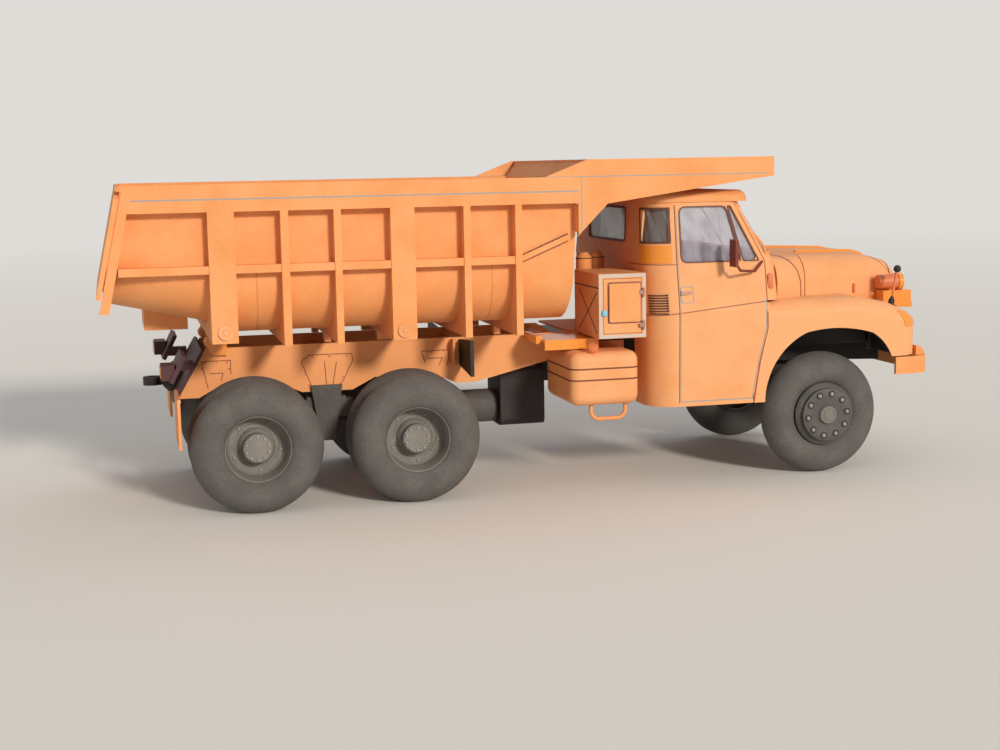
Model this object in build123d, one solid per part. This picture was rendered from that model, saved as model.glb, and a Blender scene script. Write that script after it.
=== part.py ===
from build123d import *
import os
from math import cos, radians, sin

os.makedirs("parts", exist_ok=True)

# A card model of a bonneted three-axle tipper with a rock body, at 1:32.
# Millimetres. +X forward, +Y to the left side, +Z up, the wheels stand on Z = 0.
# While modelling, X counts forward of the rear axle. On export the whole model
# moves back by MIDDLE_X, so that the origin is under the middle of its length.
MIDDLE_X = 75.3

# Card
CARD = 0.8            # one laminated panel
PANEL = 1.0           # a cab or wing wall of two layers
SEAT_GAP = 0.3        # what rests on something else stays this far off it
RUN_FIT = 0.06        # radial play of a wheel on its spindle or a pin in its eye
SEAM = 0.25           # gap between two panels of the same skin

# Running gear
WHEELBASE = 156.56    # rear axle to front axle
BOGIE = 41.25         # rear axle to middle axle
TYRE_R = 17.03
TYRE_W = 9.2
RIM_R = 8.4           # where the tyre sits on the rim
RIM_WALL = 0.6
FRONT_TRACK = 61.4
REAR_TRACK = 55.4     # between the middles of the twins
TWIN_PITCH = 10.3
SPINDLE_R = 1.6
STEER_PIN_Y = 24.6    # kingpin, from the middle of the truck
STEER_PIN_R = 0.8

# Frame
FRAME_Y = 14.0        # outer face of a side plate
FRAME_T = 1.0
FRAME_TOP = 40.8
FRAME_END = 184.0

# Body
BODY_Y = 39.0         # outer face of rails and ribs
RIB_DEPTH = 3.7       # how far rails and ribs stand out from the tub
BODY_TOP = 83.9
RAIL_Z = BODY_TOP - 6.8
TUB_FLOOR = 46.0
TUB_CORNER = 13.0
TUB_FRONT = 85.4      # front end of the tub at the rail
TUB_FRONT_LEAN = 2.1  # how much further back its foot is
RAIL_END = 84.4
RIB_FOOT = 43.4
STEP_FRONT = -4.6     # the floor steps up behind the rear wide rib's front face
STEP_REAR = -9.9
STEP_FLOOR = 48.8
TAIL_FLOOR = 54.7
TAIL_TOP_X = -30.3    # rear end of the rails at the top
TAIL_SLANT = 7.6      # how much further back the tail's foot is than its top
TAIL_LEAN = 0.22      # the rails' and last ribs' rear edge, back for each mm down
TAIL_RIB_FOOT = 53.0
TAIL_RIB_W = 2.3
GATE_FOOT = 56.6
GATE_T = 1.2
GATE_BEAD_R = 0.65    # rolled top edge of the tailgate
GATE_PIN_R = 0.35
STIFF_LOW = 61.9      # mid-height stiffener
STIFF_HIGH = 63.9
CANOPY_TOP = BODY_TOP + 4.4
CANOPY_FRONT = 139.2
TIP_X = -9.6          # tipping hinge
TIP_Z = 42.4
TIP_PIN_R = 0.6

# Cab and bonnet
CAB_BACK = 104.6
CAB_FOOT = 21.8
CAB_WAIST = 47.5      # crease where the lower body starts to bulge
CAB_BELT = 60.2       # lower edge of the windows
CAB_EAVES = 76.4
CAB_CROWN = 79.4
CAB_Y = 38.0          # half width at the foot and waist
BELT_Y = 35.8
EAVES_Y = 33.6
SCREEN_FOOT_X = 142.2
SCREEN_TOP_X = 132.4
CORNER_R = 8.0
DOOR_BACK = 112.7
DOOR_FRONT = 138.0
COWL_BACK = 142.6
COWL_FRONT = 154.0
BONNET_FRONT = 184.0
MASK_FRONT = 187.0
BONNET_BACK_Y = 27.0
BONNET_NOSE_Y = 20.0
BONNET_FOOT = 48.6
WING_TOP = 49.4
WING_FOOT = 32.6
WING_INNER_Y = 20.0
WING_FRONT = 185.0
WING_CORNER_R = 8.0   # front corner seen from above
ARCH_TOP = 41.2
NOSE_X = 188.0        # front of the bumper, the foremost point

SIDES = (("left", 1), ("right", -1))


def block(x0, x1, y0, y1, z0, z1):
    """A square-edged piece between two corners."""
    centre = ((x0 + x1) / 2, (y0 + y1) / 2, (z0 + z1) / 2)
    return Pos(*centre) * Box(abs(x1 - x0), abs(y1 - y0), abs(z1 - z0))


def side_plate(outline, y0, y1):
    """A plate cut to an X-Z outline, between two Y planes."""
    y0, y1 = sorted((y0, y1))
    points = [Vector(x, y0, z) for x, z in outline]
    face = Face(Wire.make_polygon(points, close=True))
    return Solid.extrude(face, Vector(0, y1 - y0, 0))


def cross_plate(outline, x0, x1):
    """A plate cut to a Y-Z outline, between two X planes."""
    points = [Vector(x0, y, z) for y, z in outline]
    face = Face(Wire.make_polygon(points, close=True))
    return Solid.extrude(face, Vector(x1 - x0, 0, 0))


def rod(start, end, radius):
    """A straight round bar from one point to another."""
    start, end = Vector(*start), Vector(*end)
    along = end - start
    plane = Plane(origin=start, z_dir=along)
    return Solid.make_cylinder(radius, along.length, plane)


def turned(profile, x, y, z, outward):
    """A profile of (radius, distance outward) turned about a wheel's axis."""
    points = [Vector(x + r, y + outward * a, z) for r, a in profile]
    face = Face(Wire.make_polygon(points, close=True))
    return Solid.revolve(face, 360, Axis((x, y, z), (0, 1, 0)))


def other_side(shape):
    return shape.mirror(Plane.XZ)


def solids_of(shapes):
    found = []
    for shape in shapes:
        found += shape.solids()
    return found


def save(node, *shapes):
    """Write one node, moved to the shared origin."""
    parts = [solid.moved(Location((-MIDDLE_X, 0, 0))) for solid in solids_of(shapes)]
    export_step(parts[0] if len(parts) == 1 else Compound(children=parts), f"parts/{node}.step")


# Wheels
TYRE_HALF = TYRE_W / 2
RIM_HALF = TYRE_HALF - 0.7     # half width of the tyre's foot and of the rim under it
# Tyre profile outwards from the rim: radius, half width
TYRE_PROFILE = ((RIM_R, RIM_HALF), (12.6, TYRE_HALF), (15.5, TYRE_HALF - 0.8), (TYRE_R, TYRE_HALF - 2.9))
DISC_R = 7.3                   # front wheel's disc, which stands proud of the tyre
DISC_FACE = 6.0
DISC_EDGE = 0.5
CAP_R = 2.4
CAP_H = 0.7
HUB_R = 4.3                    # rear wheel's hub
HUB_RIM = 0.4
HUB_DEEP = 2.0                 # how far the hub's end is inside the outer tyre
BORE_END = 1.2                 # what is left of the hub past its blind bore
CROWN = 0.3


def tyre(x, y):
    """One round-shouldered tyre, its middle at y."""
    mirrored = [(r, -half) for r, half in reversed(TYRE_PROFILE)]
    return turned(list(TYRE_PROFILE) + mirrored, x, y, TYRE_R, 1)


def front_rim(side):
    """Barrel, deep drum standing proud of the tyre, and hub cap, with a blind bore."""
    barrel_in = RIM_R - RIM_WALL
    bore = SPINDLE_R + RUN_FIT
    web_back, web_front = -1.0, 0.6
    profile = [(bore, web_back), (barrel_in, web_back), (barrel_in, -RIM_HALF), (RIM_R, -RIM_HALF),
               (RIM_R, RIM_HALF), (barrel_in, RIM_HALF), (barrel_in, web_front), (DISC_R, web_front),
               (DISC_R, DISC_FACE - DISC_EDGE), (DISC_R - DISC_EDGE, DISC_FACE), (CAP_R, DISC_FACE),
               (CAP_R, DISC_FACE + CAP_H), (0.0, DISC_FACE + CAP_H + CROWN), (0.0, DISC_FACE - BORE_END),
               (bore, DISC_FACE - BORE_END)]
    return turned(profile, WHEELBASE, side * FRONT_TRACK / 2, TYRE_R, side)


def rear_rim(x, side):
    """Two barrels joined at the deep disc, with the hub standing out through it."""
    barrel_in = RIM_R - RIM_WALL
    edge = TWIN_PITCH / 2 + RIM_HALF
    bore = SPINDLE_R + RUN_FIT
    web_back, web_front = -2.2, 0.9
    hub_face = edge - HUB_DEEP
    profile = [(bore, web_back), (barrel_in, web_back), (barrel_in, -edge), (RIM_R, -edge), (RIM_R, edge),
               (barrel_in, edge), (barrel_in, web_front), (HUB_R + 0.6, web_front),
               (HUB_R, hub_face - HUB_RIM), (HUB_R - HUB_RIM, hub_face), (0.0, hub_face + CROWN),
               (0.0, hub_face - BORE_END), (bore, hub_face - BORE_END)]
    return turned(profile, x, side * REAR_TRACK / 2, TYRE_R, side)


REAR_AXLES = (("middle", BOGIE), ("rear", 0.0))

for side_name, side in SIDES:
    save(f"tyre_front_{side_name}", tyre(WHEELBASE, side * FRONT_TRACK / 2))
    save(f"rim_front_{side_name}", front_rim(side))
    for axle_name, axle_x in REAR_AXLES:
        offsets = (-TWIN_PITCH / 2, TWIN_PITCH / 2)
        twins = [tyre(axle_x, side * (REAR_TRACK / 2 + offset)) for offset in offsets]
        save(f"tyres_{axle_name}_{side_name}", *twins)
        save(f"rim_{axle_name}_{side_name}", rear_rim(axle_x, side))

# Rear axles
SPINDLE_END_GAP = 0.2
NOSE_RISE = 1.0
# The axle's ball, turned: radius, distance from the middle
AXLE_BALL = ((0.0, -5.6), (3.6, -4.6), (5.4, -2.0), (5.4, 2.0), (3.6, 4.6), (0.0, 5.6))
# Drive nose of each axle: X of the axle, length of the nose
AXLE_NOSES = ((BOGIE, 16.0), (0.0, 11.0))
NOSE_R = 2.9
FLANGE_R = 3.8
FLANGE_T = 1.6
ARM_R = (4.4, 2.7)


def rear_axle(x, nose):
    """A banjo axle: ball, tapered arms and spindles, with the drive nose pointing forward."""
    arm_end = REAR_TRACK / 2 - TWIN_PITCH / 2 - TYRE_HALF - 0.6
    spindle_end = REAR_TRACK / 2 + TWIN_PITCH / 2 + RIM_HALF - HUB_DEEP - BORE_END - SPINDLE_END_GAP
    nose_tip = (x + nose, 0, TYRE_R + NOSE_RISE)
    shape = turned(AXLE_BALL, x, 0, TYRE_R, 1)
    shape += rod((x, 0, TYRE_R), nose_tip, NOSE_R)
    shape += rod((x + nose - FLANGE_T, 0, TYRE_R + NOSE_RISE), nose_tip, FLANGE_R)
    for side in (1, -1):
        plane = Plane(origin=(x, 0, TYRE_R), z_dir=(0, side, 0))
        shape += Solid.make_cone(*ARM_R, arm_end, plane)
        shape += rod((x, 0, TYRE_R), (x, side * spindle_end, TYRE_R), SPINDLE_R)
    return shape


save("rear_axles", *[rear_axle(x, nose) for x, nose in AXLE_NOSES])

# Front axle and its knuckles
BEAM_END = STEER_PIN_Y - 2.6
BEAM_HALF = 1.6
BEAM_FOOT = -3.2      # heights below and above the wheel's middle
BEAM_TOP = 0.2
EYE_R = 1.5
EYE_HALF_H = 1.6
FORK_IN = 1.9         # the fork's plates, above and below the eye
FORK_OUT = 3.5
KNUCKLE_BACK = (1.9, 3.4)
BACK_HALF = 2.2
ARM_LENGTH = 9.0
ARM_T = 1.2

front_beam = block(WHEELBASE - BEAM_HALF, WHEELBASE + BEAM_HALF, -BEAM_END, BEAM_END,
                   TYRE_R + BEAM_FOOT, TYRE_R + BEAM_TOP)
for side in (1, -1):
    y_pin = side * STEER_PIN_Y
    front_beam += block(WHEELBASE - EYE_R, WHEELBASE + EYE_R, side * (BEAM_END - 0.5), y_pin,
                        TYRE_R - EYE_HALF_H, TYRE_R + EYE_HALF_H)
    front_beam += rod((WHEELBASE, y_pin, TYRE_R - EYE_HALF_H), (WHEELBASE, y_pin, TYRE_R + EYE_HALF_H), EYE_R)
    front_beam -= rod((WHEELBASE, y_pin, 0), (WHEELBASE, y_pin, 2 * TYRE_R), STEER_PIN_R + RUN_FIT)
save("axle_front", front_beam)


def knuckle(side):
    """Fork over the axle's eye, kingpin, spindle and steering arm."""
    y_pin = side * STEER_PIN_Y
    y_back = [y_pin + side * y for y in KNUCKLE_BACK]
    shape = block(WHEELBASE - BACK_HALF, WHEELBASE + BACK_HALF, *y_back, TYRE_R - FORK_OUT, TYRE_R + FORK_OUT)
    for up in (1, -1):
        shape += block(WHEELBASE - EYE_R, WHEELBASE + EYE_R, y_pin - side * EYE_R, y_back[1],
                       TYRE_R + up * FORK_IN, TYRE_R + up * FORK_OUT)
    shape += rod((WHEELBASE, y_pin, TYRE_R - FORK_OUT), (WHEELBASE, y_pin, TYRE_R + FORK_OUT), STEER_PIN_R)
    spindle_end = side * (FRONT_TRACK / 2 + DISC_FACE - BORE_END - SPINDLE_END_GAP)
    shape += rod((WHEELBASE, y_pin + side * 2.6, TYRE_R), (WHEELBASE, spindle_end, TYRE_R), SPINDLE_R)
    shape += block(WHEELBASE - ARM_LENGTH, WHEELBASE - 1.0, y_pin - side * 1.6, y_pin + side * 1.2,
                   TYRE_R - FORK_OUT, TYRE_R - FORK_OUT + ARM_T)
    return shape


for side_name, side in SIDES:
    save(f"knuckle_{side_name}", knuckle(side))

# Springs
LEAF = 0.7
SPRING_Y = FRAME_Y - 2.2
FRONT_LEAVES = (17.0, 6, 3.2)         # half length, number of leaves, width
FRONT_LEAF_TOP = TYRE_R + 8.2
FRONT_PAD_TOP = TYRE_R + 4.0
PAD_HALF = 2.0
PAD_HALF_W = 1.6
SHACKLE_X = 16.0
SHACKLE_HALF = 1.0
SHACKLE_HALF_W = 1.2
SHACKLE_TOP = 31.0
REAR_LEAVES = (20.0, 8, 3.0)
REAR_LEAF_FOOT = TYRE_R + 3.6
TRUNNION_X = BOGIE / 2
TRUNNION_Z = 17.0
TRUNNION_R = 1.4
TRUNNION_FOOT = 14.6
SADDLE_TOP = 27.6
# Bracket that carries the rear springs, seen from the side: X, Z
TRUNNION_BRACKET = ((-4.2, 29.6), (-1.9, TRUNNION_FOOT), (1.9, TRUNNION_FOOT), (4.2, 29.6))


def leaf_pack(x, z, half_length, leaves, width, upward):
    """A stepped stack of straight leaves over an axle."""
    pack = []
    for index in range(leaves):
        half = half_length * (1 - index / (leaves + 1.5))
        z0 = z + upward * index * LEAF
        pack.append(block(x - half, x + half, -width / 2, width / 2, z0, z0 + upward * LEAF))
    return pack


spring_sets = []
for side in (1, -1):
    pieces = leaf_pack(WHEELBASE, FRONT_LEAF_TOP, *FRONT_LEAVES, -1)
    pieces.append(block(WHEELBASE - PAD_HALF, WHEELBASE + PAD_HALF, -PAD_HALF_W, PAD_HALF_W,
                        TYRE_R + BEAM_TOP, FRONT_PAD_TOP))
    for end in (-SHACKLE_X, SHACKLE_X):
        pieces.append(block(WHEELBASE + end - SHACKLE_HALF, WHEELBASE + end + SHACKLE_HALF, -SHACKLE_HALF_W,
                            SHACKLE_HALF_W, FRONT_LEAF_TOP, SHACKLE_TOP))
    spring_sets.append(Pos(0, side * SPRING_Y, 0) * (pieces[0] + pieces[1:]))
for side in (1, -1):
    y_spring = side * (FRAME_Y - 1.9)
    pieces = leaf_pack(TRUNNION_X, REAR_LEAF_FOOT, *REAR_LEAVES, 1)
    saddle_foot = REAR_LEAF_FOOT + REAR_LEAVES[1] * LEAF
    pieces.append(block(TRUNNION_X - 3.0, TRUNNION_X + 3.0, -1.5, 1.5, saddle_foot, SADDLE_TOP))
    pieces.append(block(TRUNNION_X - 2.2, TRUNNION_X + 2.2, -1.6, 1.6, TRUNNION_FOOT, REAR_LEAF_FOOT))
    stack = Pos(0, y_spring, 0) * (pieces[0] + pieces[1:])
    outline = [(TRUNNION_X + x, z) for x, z in TRUNNION_BRACKET]
    bracket_y = [side * (FRAME_Y + y) for y in (0.05, 1.2)]
    stack += side_plate(outline, *bracket_y)
    stack += rod((TRUNNION_X, y_spring, TRUNNION_Z), (TRUNNION_X, bracket_y[1], TRUNNION_Z), TRUNNION_R)
    spring_sets.append(stack)
save("leaf_springs", *spring_sets)

# Frame
# Side plate from the side, lower edge forward and upper edge back: X, Z
FRAME_OUTLINE = [(-18.5, 27.8), (-13.0, 27.8), (-7.0, 31.0), (7.0, 31.0), (14.2, 27.9), (27.8, 27.9),
                 (34.0, 31.0), (50.0, 31.0), (56.5, 28.2), (62.0, 28.2), (82.0, 33.0), (112.0, 33.0),
                 (134.0, 30.5), (FRAME_END, 28.6), (FRAME_END, 34.5), (140.0, 36.5), (118.0, 37.8),
                 (92.0, 37.8), (87.0, FRAME_TOP), (-10.8, FRAME_TOP)]
right_rail = side_plate(FRAME_OUTLINE, -FRAME_Y, -FRAME_Y + FRAME_T)
save("frame_rails", right_rail, other_side(right_rail))

INNER_Y = FRAME_Y - FRAME_T
# Each cross member: X, half length along X, lower and upper edge
CROSS_MEMBERS = ((-12.0, 0.9, 28.5, 36.0), (20.6, 3.2, 29.0, 38.5), (59.0, 1.0, 29.0, 39.5),
                 (84.0, 1.0, 33.5, 39.5), (112.0, 1.0, 33.2, 37.5), (182.0, 1.0, 29.2, 34.0))
members = [block(x - half, x + half, -INNER_Y, INNER_Y, z0, z1) for x, half, z0, z1 in CROSS_MEMBERS]
save("cross_members", *members)

# Plates that stand out from the frame ahead of the middle wheels: Y, Z
OUTRIGGER_X = 57.4
OUTRIGGER_T = 1.0
OUTRIGGER = ((FRAME_Y, 33.2), (28.0, 31.6), (28.0, 41.2), (FRAME_Y, 40.2))
right_outrigger = cross_plate([(-y, z) for y, z in OUTRIGGER], OUTRIGGER_X, OUTRIGGER_X + OUTRIGGER_T)
save("outriggers", right_outrigger, other_side(right_outrigger))

# Sloped plate closing the frame's tail, with the lamps on their slanted boards
TAIL_PLATE = [(-20.0, 27.6), (-19.2, 27.2), (-11.3, 40.6), (-12.1, 40.9)]
TAIL_PLATE_Y = 17.4
LAMP_BOARD = [(-21.2, 34.9), (-20.2, 34.4), (-16.8, 41.0), (-17.8, 41.5)]
LAMP_BOARD_Y = (17.0, 33.2)
LAMP = (-23.0, -19.8, 25.0, 32.5, 35.2, 39.0)            # X range, Y range, Z range
LAMP_STRUT = (-19.8, -14.4, 15.8, 18.4, 35.8, 38.2)
tail_plate = side_plate(TAIL_PLATE, -TAIL_PLATE_Y, TAIL_PLATE_Y)
for side in (1, -1):
    tail_plate += side_plate(LAMP_BOARD, side * LAMP_BOARD_Y[0], side * LAMP_BOARD_Y[1])
    for x0, x1, y0, y1, z0, z1 in (LAMP, LAMP_STRUT):
        tail_plate += block(x0, x1, side * y0, side * y1, z0, z1)
save("tail_plate", tail_plate)

# Tow hitch: a wedge on the tail plate, a short bar and the eye
HITCH_EYE_X = -24.6
HITCH_Z = 31.2
HITCH_EYE_R = 2.4
HITCH_EYE_T = 2.2
HITCH_HOLE_R = 1.3
HITCH_WEDGE = [(-19.5, 28.6), (-16.2, 34.2), (-20.5, 34.2), (-21.8, 32.4), (-21.8, 30.0), (-20.5, 28.6)]
hitch = side_plate(HITCH_WEDGE, -3.4, 3.4)
hitch += rod((HITCH_EYE_X + 0.8, 0, HITCH_Z), (-20.5, 0, HITCH_Z), HITCH_HOLE_R)
hitch += Pos(HITCH_EYE_X, 0, HITCH_Z) * Cylinder(HITCH_EYE_R, HITCH_EYE_T)
hitch -= Pos(HITCH_EYE_X, 0, HITCH_Z) * Cylinder(HITCH_HOLE_R, 3 * HITCH_EYE_T)
save("tow_hitch", hitch)

# Mudflaps hung from a rod on each side of the tail
FLAP_Y = (18.4, 36.6)
FLAP_X = (-19.6, -18.9)
FLAP_FOOT = 18.1
FLAP_ROD_X = -19.2
FLAP_ROD_Z = 30.4
FLAP_ROD_R = 0.5
flaps = []
for side in (1, -1):
    flap = block(*FLAP_X, side * FLAP_Y[0], side * FLAP_Y[1], FLAP_FOOT, FLAP_ROD_Z)
    rod_start = (FLAP_ROD_X, side * (FLAP_Y[0] - 0.8), FLAP_ROD_Z)
    rod_end = (FLAP_ROD_X, side * FLAP_Y[1], FLAP_ROD_Z)
    flaps.append(flap + rod(rod_start, rod_end, FLAP_ROD_R))
save("mudflaps", *flaps)

# Hinge brackets on the frame's outer faces
BRACKET_T = 1.2
BRACKET_R = 1.6
BRACKET_FRONT = TIP_X + 4.2
BRACKET_FOOT = 39.0
hinge_brackets = []
for side in (1, -1):
    y_face, y_out = side * FRAME_Y, side * (FRAME_Y + BRACKET_T)
    ear = side_plate([(TIP_X - BRACKET_R, TIP_Z), (TIP_X + 0.4, BRACKET_FOOT), (BRACKET_FRONT, BRACKET_FOOT),
                      (BRACKET_FRONT, TIP_Z)], y_face, y_out)
    ear += rod((TIP_X, y_face, TIP_Z), (TIP_X, y_out, TIP_Z), BRACKET_R)
    hinge_brackets.append(ear + rod((TIP_X, side * (INNER_Y - 3.0), TIP_Z), (TIP_X, y_out, TIP_Z), TIP_PIN_R))
save("hinge_brackets", *hinge_brackets)

# Drive line
# Gearbox between the axles and the engine: X range, half width, foot, top
GEARBOX = (70.6, 83.4, 7.5, 14.2, 31.5)
GEARBOX_R = 2.0
GEARBOX_HANGER_X = (75.0, 79.0)
GEARBOX_HANGER_H = 1.9
TUBE_R = 4.7          # the fat tube between the middle axle and the gearbox
TUBE_Z = 19.3
SHAFT_R = 1.2
box_x0, box_x1, box_half, box_foot, box_top = GEARBOX
gearbox = block(box_x0, box_x1, -box_half, box_half, box_foot, box_top)
gearbox = fillet(gearbox.edges().filter_by(Axis.X), GEARBOX_R)
save("transfer_box", gearbox + block(*GEARBOX_HANGER_X, -INNER_Y, INNER_Y, box_top, box_top + GEARBOX_HANGER_H))
middle_tip = BOGIE + AXLE_NOSES[0][1] + 0.4
rear_tip = AXLE_NOSES[1][1] + SEAT_GAP
save("prop_shafts", rod((middle_tip, 0, TUBE_Z), (box_x0 - SEAT_GAP, 0, TUBE_Z), TUBE_R),
     rod((rear_tip, 0, TYRE_R + NOSE_RISE), (BOGIE - 5.7, 0, TYRE_R + 0.6), SHAFT_R))

# Engine, its feet and the radiator: X range, half width, foot, top
ENGINE = ((142.6, 173.0, INNER_Y - 3.5, 27.0, 45.0), (118.0, 142.6, INNER_Y - 6.5, 27.0, 38.0),
          (126.0, 130.0, INNER_Y, 31.6, 35.0), (162.0, 166.0, INNER_Y, 30.2, 34.0))
RADIATOR = (176.5, 180.0, INNER_Y - 0.6, 29.4, 52.0)
engine_blocks = [block(x0, x1, -half, half, z0, z1) for x0, x1, half, z0, z1 in ENGINE + (RADIATOR,)]
save("engine", engine_blocks[0] + engine_blocks[1:-1], engine_blocks[-1])

# Tank on the right, battery box on the left
TANK_BACK = 82.6
TANK_FRONT = 101.7
TANK_Y = 37.0
TANK_FOOT = 23.2
TANK_TOP = 37.6
TANK_R = 2.6
FILLER_R = 1.3
filler_foot = Vector(89.0, -33.4, 36.2)
filler_top = Vector(89.0, -35.4, 38.6)
fuel_tank = block(TANK_BACK, TANK_FRONT, -TANK_Y, -FRAME_Y, TANK_FOOT, TANK_TOP)
outer_edges = fuel_tank.edges().filter_by(lambda edge: edge.center().Y < -FRAME_Y - 1)
fuel_tank = fillet(outer_edges, TANK_R)
save("fuel_tank", fuel_tank + rod(filler_foot, filler_top, FILLER_R))
battery_box = block(TANK_BACK, TANK_FRONT, FRAME_Y, TANK_Y, TANK_FOOT, TANK_TOP)
save("battery_box", fillet(battery_box.edges().filter_by(Axis.X), 1.2))

# Wire step under the tank, one bent bar
LOOP_Y = -33.4
LOOP_X = (89.0, 98.6)
LOOP_FOOT = 19.2
LOOP_R = 0.55
LOOP_BEND = 2.2
back, front = LOOP_X
bend_mid = LOOP_BEND * (1 - cos(radians(45)))
corner_z = LOOP_FOOT + LOOP_BEND
path = Wire([
    Line((back, LOOP_Y, TANK_FOOT - 0.05), (back, LOOP_Y, corner_z)),
    ThreePointArc((back, LOOP_Y, corner_z), (back + bend_mid, LOOP_Y, LOOP_FOOT + bend_mid),
                  (back + LOOP_BEND, LOOP_Y, LOOP_FOOT)),
    Line((back + LOOP_BEND, LOOP_Y, LOOP_FOOT), (front - LOOP_BEND, LOOP_Y, LOOP_FOOT)),
    ThreePointArc((front - LOOP_BEND, LOOP_Y, LOOP_FOOT), (front - bend_mid, LOOP_Y, LOOP_FOOT + bend_mid),
                  (front, LOOP_Y, corner_z)),
    Line((front, LOOP_Y, corner_z), (front, LOOP_Y, TANK_FOOT - 0.05))])
bar_end = Plane(origin=(back, LOOP_Y, TANK_FOOT - 0.05), z_dir=(0, 0, -1))
save("step_loop", sweep(bar_end * Circle(LOOP_R), path=path))

# Step plates over the tank's rear edge, one with a folded lip: X range, outer Y, inner Y, Z range
STEP_PLATES = ((77.4, 92.4, 30.0, FRAME_Y, 39.8, 40.6), (77.4, 92.4, 30.0, 29.2, TANK_TOP + SEAT_GAP, 39.8),
               (75.8, 77.4, 27.0, FRAME_Y, 39.4, 41.6))
step_plates = [block(x0, x1, -y_out, -y_in, z0, z1) for x0, x1, y_out, y_in, z0, z1 in STEP_PLATES]
save("step_plates", step_plates[0] + step_plates[1:])

# Locker behind the cab, and the two air cleaners beside it
LOCKER = (90.6, 103.8, -36.2, -14.5, 41.0, 58.2)
LOCKER_DOOR = (93.2, 102.2, 45.2, 55.8)      # X range, Z range
DOOR_PROUD = 0.6
CLEANER_R = 2.2
CLEANER_FOOT = 41.2
CLEANER_CONE = 1.2      # height of the chamfered top
CLEANER_SHELF = (88.0, 104.0, -13.8, 13.8)       # X range, Y range
CLEANERS = ((94.9, -9.5, 62.5), (100.2, -4.6, 62.4))    # X, Y, top
x0, x1, y0, y1, z0, z1 = LOCKER
locker = block(*LOCKER) - block(x0 + CARD, x1 - CARD, y0 + CARD, y1 - CARD, z0 + CARD, z1 - CARD)
door_x0, door_x1, door_z0, door_z1 = LOCKER_DOOR
locker_door = block(door_x0, door_x1, y0 - DOOR_PROUD, y0, door_z0, door_z1)
save("locker", locker + fillet(locker_door.edges().filter_by(Axis.Y), 1.2))
cleaners = block(*CLEANER_SHELF, FRAME_TOP + 0.1, FRAME_TOP + 0.7)
for x, y, top in CLEANERS:
    cone_foot = top - CLEANER_CONE
    cleaners += rod((x, y, CLEANER_FOOT), (x, y, cone_foot), CLEANER_R)
    cleaners += Solid.make_cone(CLEANER_R, CLEANER_R - 1.1, CLEANER_CONE, Plane((x, y, cone_foot)))
save("air_cleaners", cleaners)

# Cab
# Sections from the foot up: height, rear X, front X, half width, rear corner, front corner
CAB_SECTIONS = ((CAB_FOOT, CAB_BACK + 0.4, SCREEN_FOOT_X, CAB_Y - 0.4, CORNER_R, 3.0),
                (CAB_WAIST, CAB_BACK, SCREEN_FOOT_X, CAB_Y, CORNER_R, 3.0),
                (CAB_BELT, CAB_BACK, SCREEN_FOOT_X, BELT_Y, CORNER_R, 5.0),
                (CAB_EAVES, CAB_BACK + 0.6, SCREEN_TOP_X, EAVES_Y, CORNER_R, 5.0))
# Planes clear of the cab, to cut with
FAR = 41.0            # past its side
BEHIND = 100.0
AHEAD = 150.0
BELOW = 15.0
DOOR_IN = 29.0        # inside a door's inner face
TUNNEL = (24.0, 41.5)          # half width and top of the room for frame and engine
FLOOR_LAP = 0.4                # how far the floor's edge is wider than the tunnel
REAR_WINDOW = (16.0, 66.0, 74.8)               # half width, foot, top
CORNER_WINDOW = (111.4, 28.8, 65.8, 75.0)      # front X, inner Y, foot, top
WINDOW_TOP = CAB_EAVES - 1.2
# Windscreen from the side: everything ahead of its edge on the pillar
SCREEN_FOOT = 62.3
SCREEN_HEAD = 74.9
WINDSCREEN = [(138.2, SCREEN_FOOT), (AHEAD, SCREEN_FOOT), (AHEAD, SCREEN_HEAD), (132.0, SCREEN_HEAD)]
# Door from the side: X, Z
DOOR = [(DOOR_BACK, CAB_FOOT + 0.9), (134.0, CAB_FOOT + 0.9), (135.8, 33.0), (DOOR_FRONT, 42.0),
        (DOOR_FRONT, CAB_BELT), (130.2, WINDOW_TOP + 0.7), (DOOR_BACK, WINDOW_TOP + 0.7)]
DOOR_WINDOW = [(114.0, CAB_BELT + 0.3), (136.0, CAB_BELT + 0.3), (128.6, WINDOW_TOP), (114.0, WINDOW_TOP)]
WINDOW_R = 1.0
VENT_BAR = [(131.3, CAB_BELT), (131.9, CAB_BELT), (127.8, WINDOW_TOP + 0.4), (127.2, WINDOW_TOP + 0.4)]
ARCH = [(WHEELBASE + ahead, z) for ahead, z in (
    (-19.16, 15.0), (-19.16, CAB_FOOT), (-15.96, 32.7), (-6.76, 40.4), (3.44, ARCH_TOP), (12.94, 39.5),
    (17.84, 34.6), (19.64, 28.0), (19.64, 15.0))]


# Rear edge of the wing, which follows the door: X, Z
WING_REAR = [(x + SEAM, z) for x, z in (
    (134.0, CAB_FOOT), (135.8, 33.0), (DOOR_FRONT, 42.0), (DOOR_FRONT, WING_TOP))]
WING_LAP_Y = 34.25    # inner edge of the wing beside the cab's front corner


def rounded_section(x0, x1, half_width, back_r, front_r, z):
    """A level outline of the cab with rounded rear and front corners."""
    k = 1 - cos(radians(45))
    y, b, f = half_width, back_r, front_r
    points = [(x0 + b, -y), (x1 - f, -y), (x1, -y + f), (x1, y - f), (x1 - f, y), (x0 + b, y), (x0, y - b),
              (x0, -y + b)]
    v = [Vector(px, py, z) for px, py in points]
    mid = [Vector(x1 - f * k, -y + f * k, z), Vector(x1 - f * k, y - f * k, z),
           Vector(x0 + b * k, y - b * k, z), Vector(x0 + b * k, -y + b * k, z)]
    edges = []
    for index, middle in enumerate(mid):
        start, turn, end = v[2 * index], v[2 * index + 1], v[(2 * index + 2) % 8]
        edges += [Line(start, turn), ThreePointArc(turn, middle, end)]
    return Wire(edges)


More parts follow.
